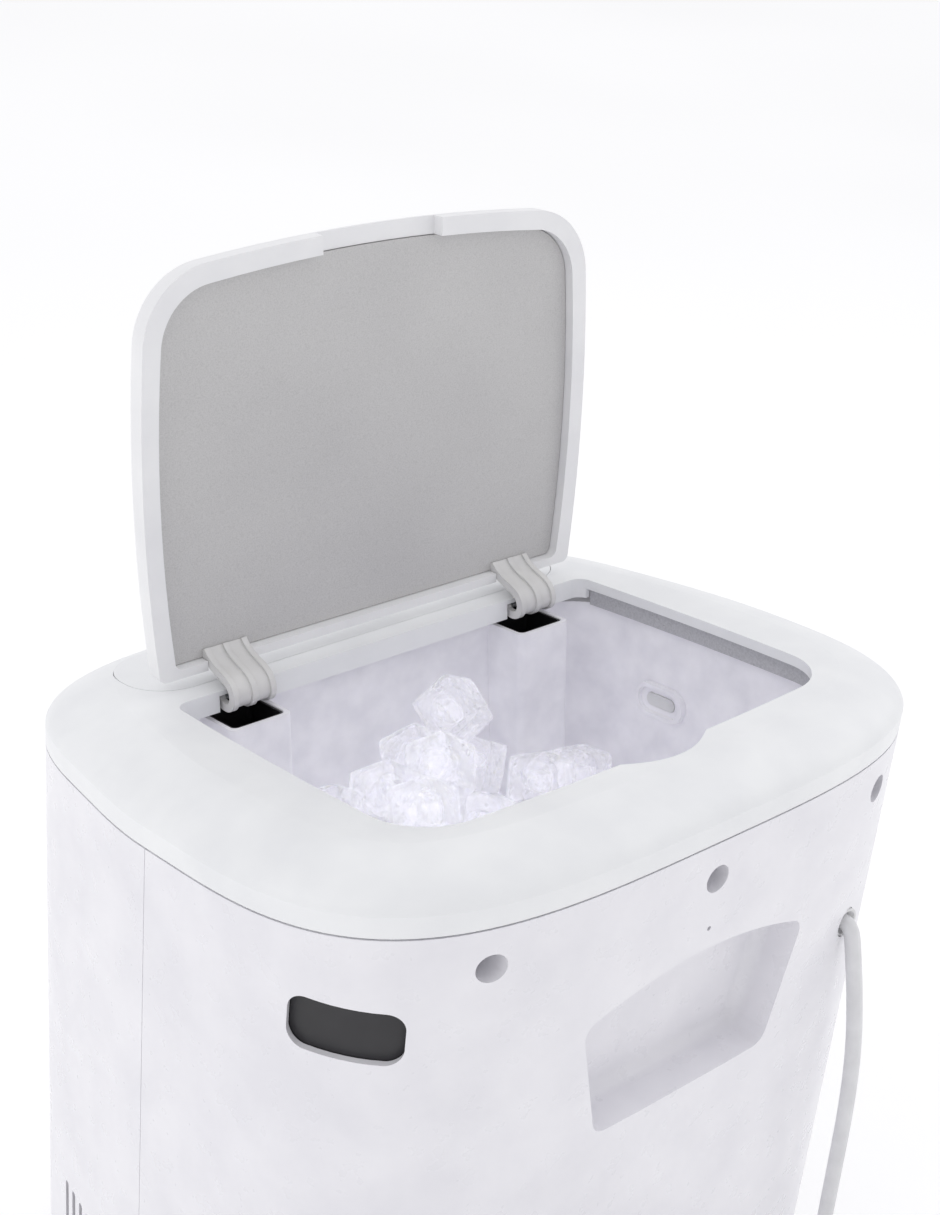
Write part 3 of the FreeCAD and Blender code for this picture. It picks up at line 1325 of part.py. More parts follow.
def makePlug():
    base = plugMiddle
    body = Part.makeBox(24, 34, 22, Vector(-12, -17, -11))
    body = body.makeFillet(6, verticalEdges(body, Vector(0, 1, 0)))
    body = body.makeFillet(2.5, [e for e in body.Edges if abs(e.BoundBox.YMax + 17) < 1e-4])
    body.translate(base)
    relief = Part.makeCone(6.6, cordRadius + 1.0, 24, base + Vector(0, 17, 0), Vector(0, 1, 0))
    bore = rod(base + Vector(0, 31, 0), base + Vector(0, 60, 0), cordRadius + 0.05)
    feature("plug_body", body.fuse(relief).cut(bore))
    pins = []
    for side in (-1, 1):
        blade = Part.makeBox(1.6, 17, 6.4, base + Vector(side * 6.35 - 0.8, -34, -3.2))
        pins.append(blade)
    earth = rod(base + Vector(0, -36, 7.0), base + Vector(0, -17, 7.0), 2.3)
    feature("plug_pins", Part.makeCompound(pins + [earth]))


# ---------------------------------------------------------------- build, check and write
makeTopCover()
makeRearShell()
makeFrontShell()
makeCornerVents()
makeBasePlate()
makeFeet()
makeScrews()
makeLid()
makeHinge()
makeBin()
makePocketLiners()
makeSeal()
makeSensor()
makeFoam()
makePosts()
makePanel()
makeButtons()
makeBoard()
makeGrid()
makeCoil()
makeDistributor()
makeCurtain()
makeFrames()
makeRamp()
makeSump()
makePump()
makeHoses()
makeCompressor()
makeCondenser()
makeFan()
makeFanBlades()
makeLines()
makePowerBoard()
makeDrain()
makeGland()
makeCord()
makePlug()
doc.recompute()

for obj in doc.Objects:
    if "Invalid" in obj.State or "Error" in obj.State:
        raise RuntimeError("object %s (%s) failed: %s" % (obj.Name, obj.Label, obj.State))
for name, obj in nodes.items():
    shape = obj.Shape
    if shape.isNull() or not shape.isValid() or not shape.Solids:
        raise RuntimeError("node %s has no sound shape" % name)

os.makedirs("parts", exist_ok=True)
for name, obj in nodes.items():
    obj.Shape.exportStep("parts/%s.step" % name)
print("wrote %d nodes" % len(nodes))
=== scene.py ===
import math
import random

import bmesh
import bpy
from mathutils import Matrix, Vector, noise


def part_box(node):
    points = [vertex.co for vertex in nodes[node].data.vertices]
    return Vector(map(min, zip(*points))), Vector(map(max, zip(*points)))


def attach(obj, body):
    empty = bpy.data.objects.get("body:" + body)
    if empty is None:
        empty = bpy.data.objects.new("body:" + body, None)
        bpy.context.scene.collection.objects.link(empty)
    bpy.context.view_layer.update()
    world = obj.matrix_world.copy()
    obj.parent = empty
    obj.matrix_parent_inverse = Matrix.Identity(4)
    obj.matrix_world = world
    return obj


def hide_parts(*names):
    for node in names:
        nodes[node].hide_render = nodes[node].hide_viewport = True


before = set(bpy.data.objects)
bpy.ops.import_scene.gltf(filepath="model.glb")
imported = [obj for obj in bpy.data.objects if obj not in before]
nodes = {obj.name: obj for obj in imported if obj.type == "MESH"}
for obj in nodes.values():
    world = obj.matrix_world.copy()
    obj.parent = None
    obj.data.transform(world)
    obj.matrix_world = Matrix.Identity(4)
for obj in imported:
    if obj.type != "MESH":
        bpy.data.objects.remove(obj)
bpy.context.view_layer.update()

print("frame loaded:", len(nodes), "parts")


# ---------- colour and node helpers

def hexToLinear(code, alpha=1.0):
    values = []
    for i in (0, 2, 4):
        c = int(code[i:i + 2], 16) / 255
        values.append(c / 12.92 if c <= 0.04045 else ((c + 0.055) / 1.055) ** 2.4)
    return (*values, alpha)


def addNode(tree, kind, settings=None, values=None, links=None):
    made = tree.nodes.new(kind)
    for name, value in (settings or {}).items():
        setattr(made, name, value)
    for name, value in (values or {}).items():
        made.inputs[name].default_value = value
    for name, socket in (links or {}).items():
        tree.links.new(socket, made.inputs[name])
    return made


def startMaterial(name):
    material = bpy.data.materials.new(name)
    material.use_nodes = True
    tree = material.node_tree
    tree.nodes.clear()
    output = addNode(tree, "ShaderNodeOutputMaterial")
    surface = addNode(tree, "ShaderNodeBsdfPrincipled")
    tree.links.new(surface.outputs["BSDF"], output.inputs["Surface"])
    place = addNode(tree, "ShaderNodeTexCoord")
    return material, tree, surface, place.outputs["Object"], output


def ramp(tree, factor, stops):
    made = addNode(tree, "ShaderNodeValToRGB", links={"Fac": factor})
    elements = made.color_ramp.elements
    elements[0].position, elements[0].color = stops[0]
    elements[1].position, elements[1].color = stops[-1]
    for position, colour in stops[1:-1]:
        elements.new(position).color = colour
    return made.outputs["Color"]


mm = 0.001


def perMm(size):
    return 1 / (size * mm)   # a noise scale whose features are about this many millimetres wide


# Moulded ABS: a slightly soft gloss, a fine orange peel and the faintest cloudiness in the white.
mouldedAbs = {
    "cover": {"name": "moulded ABS, cover", "dark": "EAEBED", "light": "F1F2F3", "roughness": 0.34,
              "peel": 1.1, "bump": 0.05, "edge": 0.5},
    "shell": {"name": "moulded ABS, shell", "dark": "E7E6EB", "light": "EFEEF2", "roughness": 0.30,
              "peel": 1.4, "bump": 0.04, "edge": 0.4},
    "lid": {"name": "moulded ABS, lid", "dark": "E9E9EB", "light": "F0F0F1", "roughness": 0.36,
            "peel": 0.9, "bump": 0.06, "edge": 0.5},
    "button": {"name": "moulded ABS, buttons", "dark": "8E9298", "light": "9BA0A6", "roughness": 0.4,
               "peel": 0.8, "bump": 0.05, "edge": 0.3},
    "black": {"name": "moulded ABS, black", "dark": "1C1B1E", "light": "27262A", "roughness": 0.42,
              "peel": 0.8, "bump": 0.08, "edge": 0.4},
    "fan": {"name": "moulded ABS, fan", "dark": "D3D2CC", "light": "DEDDD8", "roughness": 0.4,
            "peel": 1.0, "bump": 0.05, "edge": 0.3},
}


def makeAbs(key):
    look = mouldedAbs[key]
    material, tree, surface, place, output = startMaterial(look["name"])
    cloud = addNode(tree, "ShaderNodeTexNoise", values={"Scale": perMm(28), "Detail": 3.0}, links={"Vector": place})
    colour = ramp(tree, cloud.outputs["Fac"], [(0.3, hexToLinear(look["dark"])), (0.7, hexToLinear(look["light"]))])
    peel = addNode(tree, "ShaderNodeTexNoise", values={"Scale": perMm(look["peel"]), "Detail": 2.0},
                   links={"Vector": place})
    bump = addNode(tree, "ShaderNodeBump", values={"Strength": look["bump"] * 0.4, "Distance": 0.1 * mm},
                   links={"Height": peel.outputs["Fac"]})
    wear = addNode(tree, "ShaderNodeTexNoise", values={"Scale": perMm(9), "Detail": 5.0}, links={"Vector": place})
    rough = addNode(tree, "ShaderNodeMapRange", values={"From Min": 0.3, "From Max": 0.7,
                    "To Min": look["roughness"] - 0.05, "To Max": look["roughness"] + 0.06},
                    links={"Value": wear.outputs["Fac"]})
    tree.links.new(colour, surface.inputs["Base Color"])
    tree.links.new(bump.outputs["Normal"], surface.inputs["Normal"])
    tree.links.new(rough.outputs["Result"], surface.inputs["Roughness"])
    surface.inputs["IOR"].default_value = 1.53
    return material


# Vacuum-formed polystyrene sheet with a fine sand grain: flat grey, with rubbed marks and a few pale scratches.
liner = {"base": "BEBDBD", "low": "C9C8C8", "fleck": "A9A8A8", "mark": "E4E3E4", "grain": 0.55, "roughness": 0.5}


def makeLiner():
    material, tree, surface, place, output = startMaterial("vacuum-formed polystyrene, lid liner")
    grain = addNode(tree, "ShaderNodeTexNoise", values={"Scale": perMm(liner["grain"]), "Detail": 2.0},
                    links={"Vector": place})
    broad = addNode(tree, "ShaderNodeTexNoise", values={"Scale": perMm(70), "Detail": 2.0}, links={"Vector": place})
    grainColour = ramp(tree, grain.outputs["Fac"], [(0.32, hexToLinear(liner["fleck"])),
                                                    (0.5, hexToLinear(liner["base"])),
                                                    (0.68, hexToLinear(liner["low"]))])
    broadColour = ramp(tree, broad.outputs["Fac"], [(0.3, hexToLinear("C2C1C1")), (0.7, hexToLinear("CECDCC"))])
    mixed = addNode(tree, "ShaderNodeMix", {"data_type": "RGBA"}, {0: 0.55})
    tree.links.new(grainColour, mixed.inputs["A"])
    tree.links.new(broadColour, mixed.inputs["B"])
    # a few rubbed marks: stretched noise that only shows its highest peaks
    stretch = addNode(tree, "ShaderNodeMapping", values={"Scale": (1.0, 1.0, 0.35), "Rotation": (0.1, 0.35, 0.0)},
                      links={"Vector": place})
    marks = addNode(tree, "ShaderNodeTexNoise", values={"Scale": perMm(9), "Detail": 6.0, "Roughness": 0.75},
                    links={"Vector": stretch.outputs["Vector"]})
    markMask = ramp(tree, marks.outputs["Fac"], [(0.70, (0, 0, 0, 1)), (0.78, (1, 1, 1, 1))])
    worn = addNode(tree, "ShaderNodeMix", {"data_type": "RGBA"}, {"B": hexToLinear(liner["mark"])})
    tree.links.new(markMask, worn.inputs[0])
    tree.links.new(mixed.outputs["Result"], worn.inputs["A"])
    bump = addNode(tree, "ShaderNodeBump", values={"Strength": 0.22, "Distance": 0.12 * mm},
                   links={"Height": grain.outputs["Fac"]})
    tree.links.new(worn.outputs["Result"], surface.inputs["Base Color"])
    tree.links.new(bump.outputs["Normal"], surface.inputs["Normal"])
    surface.inputs["Roughness"].default_value = liner["roughness"]
    surface.inputs["IOR"].default_value = 1.59
    return material


# Moulded polypropylene: waxy and matt, a little uneven where it was ejected from the mould. The bin's last value is
# painted light: the bin plastic emits a faint light of its own in its lighter tone.
polypropylene = {
    "arm": {"name": "moulded polypropylene, lid arms", "dark": "D2D1D1", "light": "DEDDDC", "roughness": 0.5},
    "bin": {"name": "moulded polypropylene, bin", "dark": "DBDAE1", "light": "EBEAEF", "roughness": 0.33,
            "paintedBinGlow": 0.13},
    "fitting": {"name": "moulded polypropylene, fittings", "dark": "DCDCDD", "light": "E6E6E7", "roughness": 0.48},
}


def makePolypropylene(key):
    look = polypropylene[key]
    material, tree, surface, place, output = startMaterial(look["name"])
    cloud = addNode(tree, "ShaderNodeTexNoise", values={"Scale": perMm(14), "Detail": 4.0}, links={"Vector": place})
    colour = ramp(tree, cloud.outputs["Fac"], [(0.3, hexToLinear(look["dark"])), (0.7, hexToLinear(look["light"]))])
    grain = addNode(tree, "ShaderNodeTexNoise", values={"Scale": perMm(0.7), "Detail": 2.0}, links={"Vector": place})
    edge = addNode(tree, "ShaderNodeBevel", {"samples": 4}, {"Radius": 0.5 * mm})
    bump = addNode(tree, "ShaderNodeBump", values={"Strength": 0.12, "Distance": 0.15 * mm},
                   links={"Height": grain.outputs["Fac"], "Normal": edge.outputs["Normal"]})
    tree.links.new(colour, surface.inputs["Base Color"])
    tree.links.new(bump.outputs["Normal"], surface.inputs["Normal"])
    surface.inputs["Roughness"].default_value = look["roughness"]
    surface.inputs["IOR"].default_value = 1.49
    surface.inputs["Subsurface Weight"].default_value = 0.08
    # painted light: the plastic emits its lighter tone at the strength given (only the bin has one)
    surface.inputs["Emission Color"].default_value = hexToLinear(look["light"])
    surface.inputs["Emission Strength"].default_value = look.get("paintedBinGlow", 0.0)
    surface.inputs["Subsurface Radius"].default_value = (0.005, 0.005, 0.006)
    return material


# Closed-cell foam rubber strip: dull grey, with pinholes and caught specks of grime.
sealLook = {"dark": "AEAEB2", "light": "C2C2C6", "grime": "4A4842", "roughness": 0.85}


def makeSeal():
    material, tree, surface, place, output = startMaterial("closed-cell foam rubber, seal")
    cells = addNode(tree, "ShaderNodeTexNoise", values={"Scale": perMm(1.0), "Detail": 3.0}, links={"Vector": place})
    colour = ramp(tree, cells.outputs["Fac"], [(0.3, hexToLinear(sealLook["dark"])),
                                               (0.7, hexToLinear(sealLook["light"]))])
    grime = addNode(tree, "ShaderNodeTexNoise", values={"Scale": perMm(3.2), "Detail": 6.0, "Roughness": 0.8},
                    links={"Vector": place})
    grimeMask = ramp(tree, grime.outputs["Fac"], [(0.64, (0, 0, 0, 1)), (0.70, (1, 1, 1, 1))])
    mixed = addNode(tree, "ShaderNodeMix", {"data_type": "RGBA"}, {"B": hexToLinear(sealLook["grime"])})
    tree.links.new(grimeMask, mixed.inputs[0])
    tree.links.new(colour, mixed.inputs["A"])
    bump = addNode(tree, "ShaderNodeBump", values={"Strength": 0.4, "Distance": 0.2 * mm},
                   links={"Height": cells.outputs["Fac"]})
    tree.links.new(mixed.outputs["Result"], surface.inputs["Base Color"])
    tree.links.new(bump.outputs["Normal"], surface.inputs["Normal"])
    surface.inputs["Roughness"].default_value = sealLook["roughness"]
    return material


# Metals: brushed, plated, drawn or painted. Colours are the metal's own reflection.
metals = {
    "steel": {"name": "zinc-plated steel", "colour": "B9BABD", "rough": (0.28, 0.42), "grain": 1.2, "stretch": 8},
    "nickel": {"name": "nickel-plated copper", "colour": "C9C5BC", "rough": (0.16, 0.28), "grain": 2.5, "stretch": 1},
    "copper": {"name": "drawn copper tube", "colour": "C9825A", "rough": (0.25, 0.45), "grain": 3.0, "stretch": 3},
    "aluminium": {"name": "rolled aluminium fins", "colour": "D0D1D3", "rough": (0.3, 0.4), "grain": 1.0, "stretch": 6},
    "brass": {"name": "machined brass pins", "colour": "D2B46C", "rough": (0.2, 0.32), "grain": 0.8, "stretch": 5},
}


def makeMetal(key):
    look = metals[key]
    material, tree, surface, place, output = startMaterial(look["name"])
    stretch = addNode(tree, "ShaderNodeMapping", values={"Scale": (1.0, 1.0, float(look["stretch"]))},
                      links={"Vector": place})
    grain = addNode(tree, "ShaderNodeTexNoise", values={"Scale": perMm(look["grain"]), "Detail": 4.0},
                    links={"Vector": stretch.outputs["Vector"]})
    rough = addNode(tree, "ShaderNodeMapRange", values={"From Min": 0.3, "From Max": 0.7,
                    "To Min": look["rough"][0], "To Max": look["rough"][1]}, links={"Value": grain.outputs["Fac"]})
    tarnish = addNode(tree, "ShaderNodeTexNoise", values={"Scale": perMm(12), "Detail": 4.0}, links={"Vector": place})
    base = hexToLinear(look["colour"])
    dull = tuple(c * 0.78 for c in base[:3]) + (1.0,)
    colour = ramp(tree, tarnish.outputs["Fac"], [(0.35, dull), (0.6, base)])
    tree.links.new(colour, surface.inputs["Base Color"])
    tree.links.new(rough.outputs["Result"], surface.inputs["Roughness"])
    surface.inputs["Metallic"].default_value = 1.0
    return material


# Simple surfaces that share one recipe: a two-tone cloud, a grain and a roughness.
plainLooks = {
    "paint": {"name": "stoved black paint, compressor", "dark": "17181A", "light": "202124", "roughness": 0.35,
              "grain": 1.5, "bump": 0.15},
    "rubber": {"name": "moulded rubber, feet", "dark": "1B1B1B", "light": "262626", "roughness": 0.8,
               "grain": 0.8, "bump": 0.2},
    "foam": {"name": "blown polyurethane foam", "dark": "CFC7AE", "light": "E2DBC6", "roughness": 0.95,
             "grain": 2.2, "bump": 0.6},
    "circuit": {"name": "solder-masked circuit board", "dark": "124A2B", "light": "1C5F38", "roughness": 0.3,
                "grain": 2.0, "bump": 0.1},
    "cable": {"name": "extruded PVC, mains lead", "dark": "D8D8DA", "light": "E3E3E5", "roughness": 0.42,
              "grain": 1.4, "bump": 0.06},
    "drain": {"name": "moulded silicone, drain cap", "dark": "BDBDBF", "light": "CCCCCE", "roughness": 0.6,
              "grain": 1.2, "bump": 0.1},
    "lens": {"name": "smoked acrylic, display", "dark": "0C0D10", "light": "13151A", "roughness": 0.08,
             "grain": 6.0, "bump": 0.01},
    "tie": {"name": "nylon hook tape, cord tie", "dark": "1E1F22", "light": "34363B", "roughness": 0.9,
            "grain": 0.5, "bump": 0.6},
    "silicone": {"name": "extruded silicone hose", "dark": "D9D9D3", "light": "E5E5E0", "roughness": 0.45,
                 "grain": 2.0, "bump": 0.05},
}


def makePlain(key):
    look = plainLooks[key]
    material, tree, surface, place, output = startMaterial(look["name"])
    cloud = addNode(tree, "ShaderNodeTexNoise", values={"Scale": perMm(11), "Detail": 4.0}, links={"Vector": place})
    colour = ramp(tree, cloud.outputs["Fac"], [(0.3, hexToLinear(look["dark"])), (0.7, hexToLinear(look["light"]))])
    grain = addNode(tree, "ShaderNodeTexNoise", values={"Scale": perMm(look["grain"]), "Detail": 3.0},
                    links={"Vector": place})
    bump = addNode(tree, "ShaderNodeBump", values={"Strength": look["bump"], "Distance": 0.25 * mm},
                   links={"Height": grain.outputs["Fac"]})
    tree.links.new(colour, surface.inputs["Base Color"])
    tree.links.new(bump.outputs["Normal"], surface.inputs["Normal"])
    surface.inputs["Roughness"].default_value = look["roughness"]
    return material


# Clear polycarbonate: see-through with a faint cool tint and moulding ripple.
def makeClear():
    material, tree, surface, place, output = startMaterial("clear polycarbonate")
    ripple = addNode(tree, "ShaderNodeTexNoise", values={"Scale": perMm(16), "Detail": 2.0}, links={"Vector": place})
    bump = addNode(tree, "ShaderNodeBump", values={"Strength": 0.1, "Distance": 0.5 * mm},
                   links={"Height": ripple.outputs["Fac"]})
    colour = ramp(tree, ripple.outputs["Fac"], [(0.3, hexToLinear("E6EDF0")), (0.7, hexToLinear("F2F6F8"))])
    tree.links.new(colour, surface.inputs["Base Color"])
    tree.links.new(bump.outputs["Normal"], surface.inputs["Normal"])
    surface.inputs["Transmission Weight"].default_value = 1.0
    surface.inputs["Roughness"].default_value = 0.08
    surface.inputs["IOR"].default_value = 1.58
    return material


# Ice: clear and cold white, wet-smooth outside, with a milky heart where air was trapped, and painted light: the
# surface emits a faint pale light of its own.
iceLook = {"clear": "FEFEFF", "milk": "FAFAFD", "cloud": 0.16, "wet": 0.02, "frost": 0.12,
           "open": 0.42, "paintedGlow": "F2F2F7", "paintedGlowStrength": 0.16}


def makeIce():
    material, tree, surface, place, output = startMaterial("frozen water, ice")
    melt = addNode(tree, "ShaderNodeTexNoise", values={"Scale": perMm(6), "Detail": 3.0}, links={"Vector": place})
    rough = addNode(tree, "ShaderNodeMapRange", values={"From Min": 0.5, "From Max": 0.75,
                    "To Min": iceLook["wet"], "To Max": iceLook["frost"]}, links={"Value": melt.outputs["Fac"]})
    bump = addNode(tree, "ShaderNodeBump", values={"Strength": 0.35, "Distance": 0.8 * mm},
                   links={"Height": melt.outputs["Fac"]})
    colour = ramp(tree, melt.outputs["Fac"], [(0.3, hexToLinear(iceLook["clear"])), (0.8, hexToLinear("FDFDFF"))])
    tree.links.new(colour, surface.inputs["Base Color"])
    tree.links.new(rough.outputs["Result"], surface.inputs["Roughness"])
    tree.links.new(bump.outputs["Normal"], surface.inputs["Normal"])
    surface.inputs["Transmission Weight"].default_value = 1.0
    surface.inputs["IOR"].default_value = 1.31
    milk = addNode(tree, "ShaderNodeBsdfPrincipled", values={"Base Color": hexToLinear(iceLook["milk"]),
                   "Roughness": 0.5, "Subsurface Weight": 0.5},
                   links={"Normal": bump.outputs["Normal"]})
    milk.inputs["Subsurface Radius"].default_value = (0.006, 0.006, 0.008)
    cloud = addNode(tree, "ShaderNodeTexNoise", values={"Scale": perMm(8), "Detail": 5.0, "Roughness": 0.7},
                    links={"Vector": place})
    share = addNode(tree, "ShaderNodeMapRange", values={"From Min": 0.42, "From Max": 0.75,
                    "To Min": iceLook["cloud"] * 0.6, "To Max": iceLook["cloud"] * 2.2},
                    links={"Value": cloud.outputs["Fac"]})
    both = addNode(tree, "ShaderNodeMixShader", links={0: share.outputs["Result"]})
    tree.links.new(surface.outputs["BSDF"], both.inputs[1])
    tree.links.new(milk.outputs["BSDF"], both.inputs[2])
    through = addNode(tree, "ShaderNodeBsdfTransparent", values={"Color": hexToLinear(iceLook["clear"])})
    opened = addNode(tree, "ShaderNodeMixShader", values={0: iceLook["open"]})
    tree.links.new(both.outputs["Shader"], opened.inputs[1])
    tree.links.new(through.outputs["BSDF"], opened.inputs[2])
    # painted light: the ice surface emits a faint pale light of its own
    surface.inputs["Emission Color"].default_value = hexToLinear(iceLook["paintedGlow"])
    surface.inputs["Emission Strength"].default_value = iceLook["paintedGlowStrength"]
    tree.links.new(opened.outputs["Shader"], output.inputs["Surface"])
    return material


# Matt white paint of a seamless studio floor: pale and even, with no reflection of the part.
def makeFloorMaterial():
    material, tree, surface, place, output = startMaterial("painted studio floor")
    soft = addNode(tree, "ShaderNodeTexNoise", values={"Scale": 1.2, "Detail": 1.0}, links={"Vector": place})
    colour = ramp(tree, soft.outputs["Fac"], [(0.3, hexToLinear("F8F8F8")), (0.7, hexToLinear("FBFBFB"))])
    tree.links.new(colour, surface.inputs["Base Color"])
    surface.inputs["Roughness"].default_value = 0.9
    surface.inputs["Specular IOR Level"].default_value = 0.0
    surface.inputs["Emission Color"].default_value = (1, 1, 1, 1)
    surface.inputs["Emission Strength"].default_value = 0.14
    return material


cover = makeAbs("cover")
shell = makeAbs("shell")
lidAbs = makeAbs("lid")
buttonAbs = makeAbs("button")
blackAbs = makeAbs("black")
fanAbs = makeAbs("fan")
linerSheet = makeLiner()
armPlastic = makePolypropylene("arm")
binPlastic = makePolypropylene("bin")
fitting = makePolypropylene("fitting")
sealFoam = makeSeal()
steel = makeMetal("steel")
nickel = makeMetal("nickel")
copper = makeMetal("copper")
aluminium = makeMetal("aluminium")
brass = makeMetal("brass")
plain = {key: makePlain(key) for key in plainLooks}
clear = makeClear()
ice = makeIce()

finishes = {
    "top_cover": cover, "control_panel": cover, "lid_shell": lidAbs, "rear_shell": shell, "front_shell": shell,
    "lid_liner": linerSheet, "hinge_arm_left": armPlastic, "hinge_arm_right": armPlastic,
    "ice_bin": binPlastic, "sensor_housing": binPlastic, "ice_ramp": binPlastic, "bin_seal": sealFoam,
    "pocket_liners": blackAbs, "water_pump": blackAbs, "fan_shroud": blackAbs, "base_plate": blackAbs,
    "corner_vents": blackAbs, "bin_posts": blackAbs, "tact_switches": blackAbs, "bin_foam": plain["foam"],
    "button_power": buttonAbs, "button_select": buttonAbs, "button_clean": buttonAbs,
    "display_window": plain["lens"], "sensor_eye": fitting,
    "control_board": plain["circuit"], "power_board": plain["circuit"], "side_frames": steel,
    "cover_screws": steel, "hinge_pins": steel, "fan_motor": steel, "evaporator_grid": nickel,
    "evaporator_coil": copper, "condenser_tube": copper, "suction_line": copper, "discharge_line": copper,
    "liquid_line": copper, "capillary_line": copper, "filter_drier": copper, "ice_curtain": clear,
    "water_distributor": clear, "water_sump": clear, "delivery_hose": plain["silicone"],
    "inlet_hose": plain["silicone"], "compressor": plain["paint"], "condenser_fins": aluminium,
    "fan_blades": fanAbs, "pump_impeller": fanAbs, "feet": plain["rubber"], "compressor_mounts": plain["rubber"],
    "drain_port": fitting, "cord_gland": fitting, "drain_cap": plain["drain"], "plug_body": plain["cable"],
    "plug_pins": brass, "cord_lead": plain["cable"], "cord_coil": plain["cable"], "cord_tail": plain["cable"],
}


def dressNode(name, material):
    mesh = nodes[name].data
    mesh.materials.clear()
    mesh.materials.append(material)
    for polygon in mesh.polygons:
        polygon.material_index = 0


for name, material in finishes.items():
    dressNode(name, material)
for name in nodes:
    if name not in finishes:
        print("no finish yet for", name)
print("materials on the frame's parts")


# ---------- camera, light and floor

cameraPlace = {
    "stand": (-0.48551, -0.60708, 0.31222),   # seen from the lid opening, before the top's slope is added
    "yaw": 41.1264, "pitch": 21.1144, "roll": -0.0798, "focal": 1972.65, "middle": (472.62, 609.07),
}
topSlope = math.radians(7.8)
openingMiddle = Vector((0, -0.0564, 0.335))


def fromTop(vector):
    c, s = math.cos(topSlope), math.sin(topSlope)
    x, y, z = vector
    return Vector((-x, -(c * y + s * z), -s * y + c * z))


def makeCamera():
    yaw, pitch, roll = (math.radians(cameraPlace[k]) for k in ("yaw", "pitch", "roll"))
    ahead = Vector((math.sin(yaw) * math.cos(pitch), math.cos(yaw) * math.cos(pitch), -math.sin(pitch)))
    right = Vector((math.cos(yaw), -math.sin(yaw), 0))
    up = right.cross(ahead)
    turnedRight = right * math.cos(roll) + up * math.sin(roll)
    turnedUp = up * math.cos(roll) - right * math.sin(roll)
    columns = [fromTop(turnedRight), fromTop(turnedUp), -fromTop(ahead)]
    place = openingMiddle + fromTop(cameraPlace["stand"])
    data = bpy.data.cameras.new("studioCamera")
    data.sensor_width = 36
    data.lens = cameraPlace["focal"] / 1215 * 36
    data.shift_x = (470 - cameraPlace["middle"][0]) / 1215
    data.shift_y = (cameraPlace["middle"][1] - 607.5) / 1215
    camera = bpy.data.objects.new("studioCamera", data)
    bpy.context.scene.collection.objects.link(camera)
    rotation = Matrix((columns[0], columns[1], columns[2])).transposed()
    camera.matrix_world = Matrix.Translation(place) @ rotation.to_4x4()
    bpy.context.scene.camera = camera
    return place


studio = {"sky": 0.93, "shade": 0.74, "key": 5.0, "keySize": 1.6, "floorSize": 14.0}


def makeStudio(cameraSpot):
    world = bpy.data.worlds.new("studio")
    bpy.context.scene.world = world
    world.use_nodes = True
    tree = world.node_tree
    tree.nodes.clear()
    place = addNode(tree, "ShaderNodeTexCoord")
    towards = Vector((cameraSpot.x, cameraSpot.y, 0.25)).normalized()
    facing = addNode(tree, "ShaderNodeVectorMath", {"operation": "DOT_PRODUCT"},
                     links={0: place.outputs["Generated"]})
    facing.inputs[1].default_value = towards
    level = addNode(tree, "ShaderNodeMapRange", values={"From Min": 0.1, "From Max": 0.95,
                    "To Min": studio["sky"], "To Max": studio["shade"]}, links={"Value": facing.outputs["Value"]})
    sky = addNode(tree, "ShaderNodeBackground", values={"Color": hexToLinear("FDFDFF")},
                  links={"Strength": level.outputs["Result"]})
    addNode(tree, "ShaderNodeOutputWorld", links={"Surface": sky.outputs["Background"]})
    lamps = [("keyPanel", (1.5, -0.2, 1.7), studio["key"], studio["keySize"]),
             ("fillPanel", (-1.3, 0.3, 1.2), studio["key"] * 0.45, 1.2)]
    for name, spot, power, width in lamps:
        data = bpy.data.lights.new(name, "AREA")
        data.energy = power
        data.size = width
        lamp = bpy.data.objects.new(name, data)
        bpy.context.scene.collection.objects.link(lamp)
        lamp.location = spot
        aim = Vector((0, 0, 0.3)) - Vector(spot)
        lamp.rotation_euler = aim.to_track_quat("-Z", "Y").to_euler()
    half = studio["floorSize"] / 2
    mesh = bpy.data.meshes.new("studioFloor")
    mesh.from_pydata([(-half, -half, 0), (half, -half, 0), (half, half, 0), (-half, half, 0)], [], [(0, 1, 2, 3)])
    floor = bpy.data.objects.new("studioFloor", mesh)
    mesh.materials.append(makeFloorMaterial())
    bpy.context.scene.collection.objects.link(floor)
    scene = bpy.context.scene
    scene.view_settings.view_transform = "Standard"
    scene.view_settings.look = "None"


cameraSpot = makeCamera()
makeStudio(cameraSpot)
print("camera and studio ready")


# ---------- mains lead: one length from the gland, down the back, into a put-away coil and on to the plug

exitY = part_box("cord_gland")[1][1] - 0.2 * mm
lead = {"diameter": 6.8 * mm, "x": -99.0 * mm, "z": 257.5 * mm, "hang": exitY + 17 * mm, "coilMiddle": 39.2 * mm,
        "pointsPerTurn": 16, "turns": 5.25}


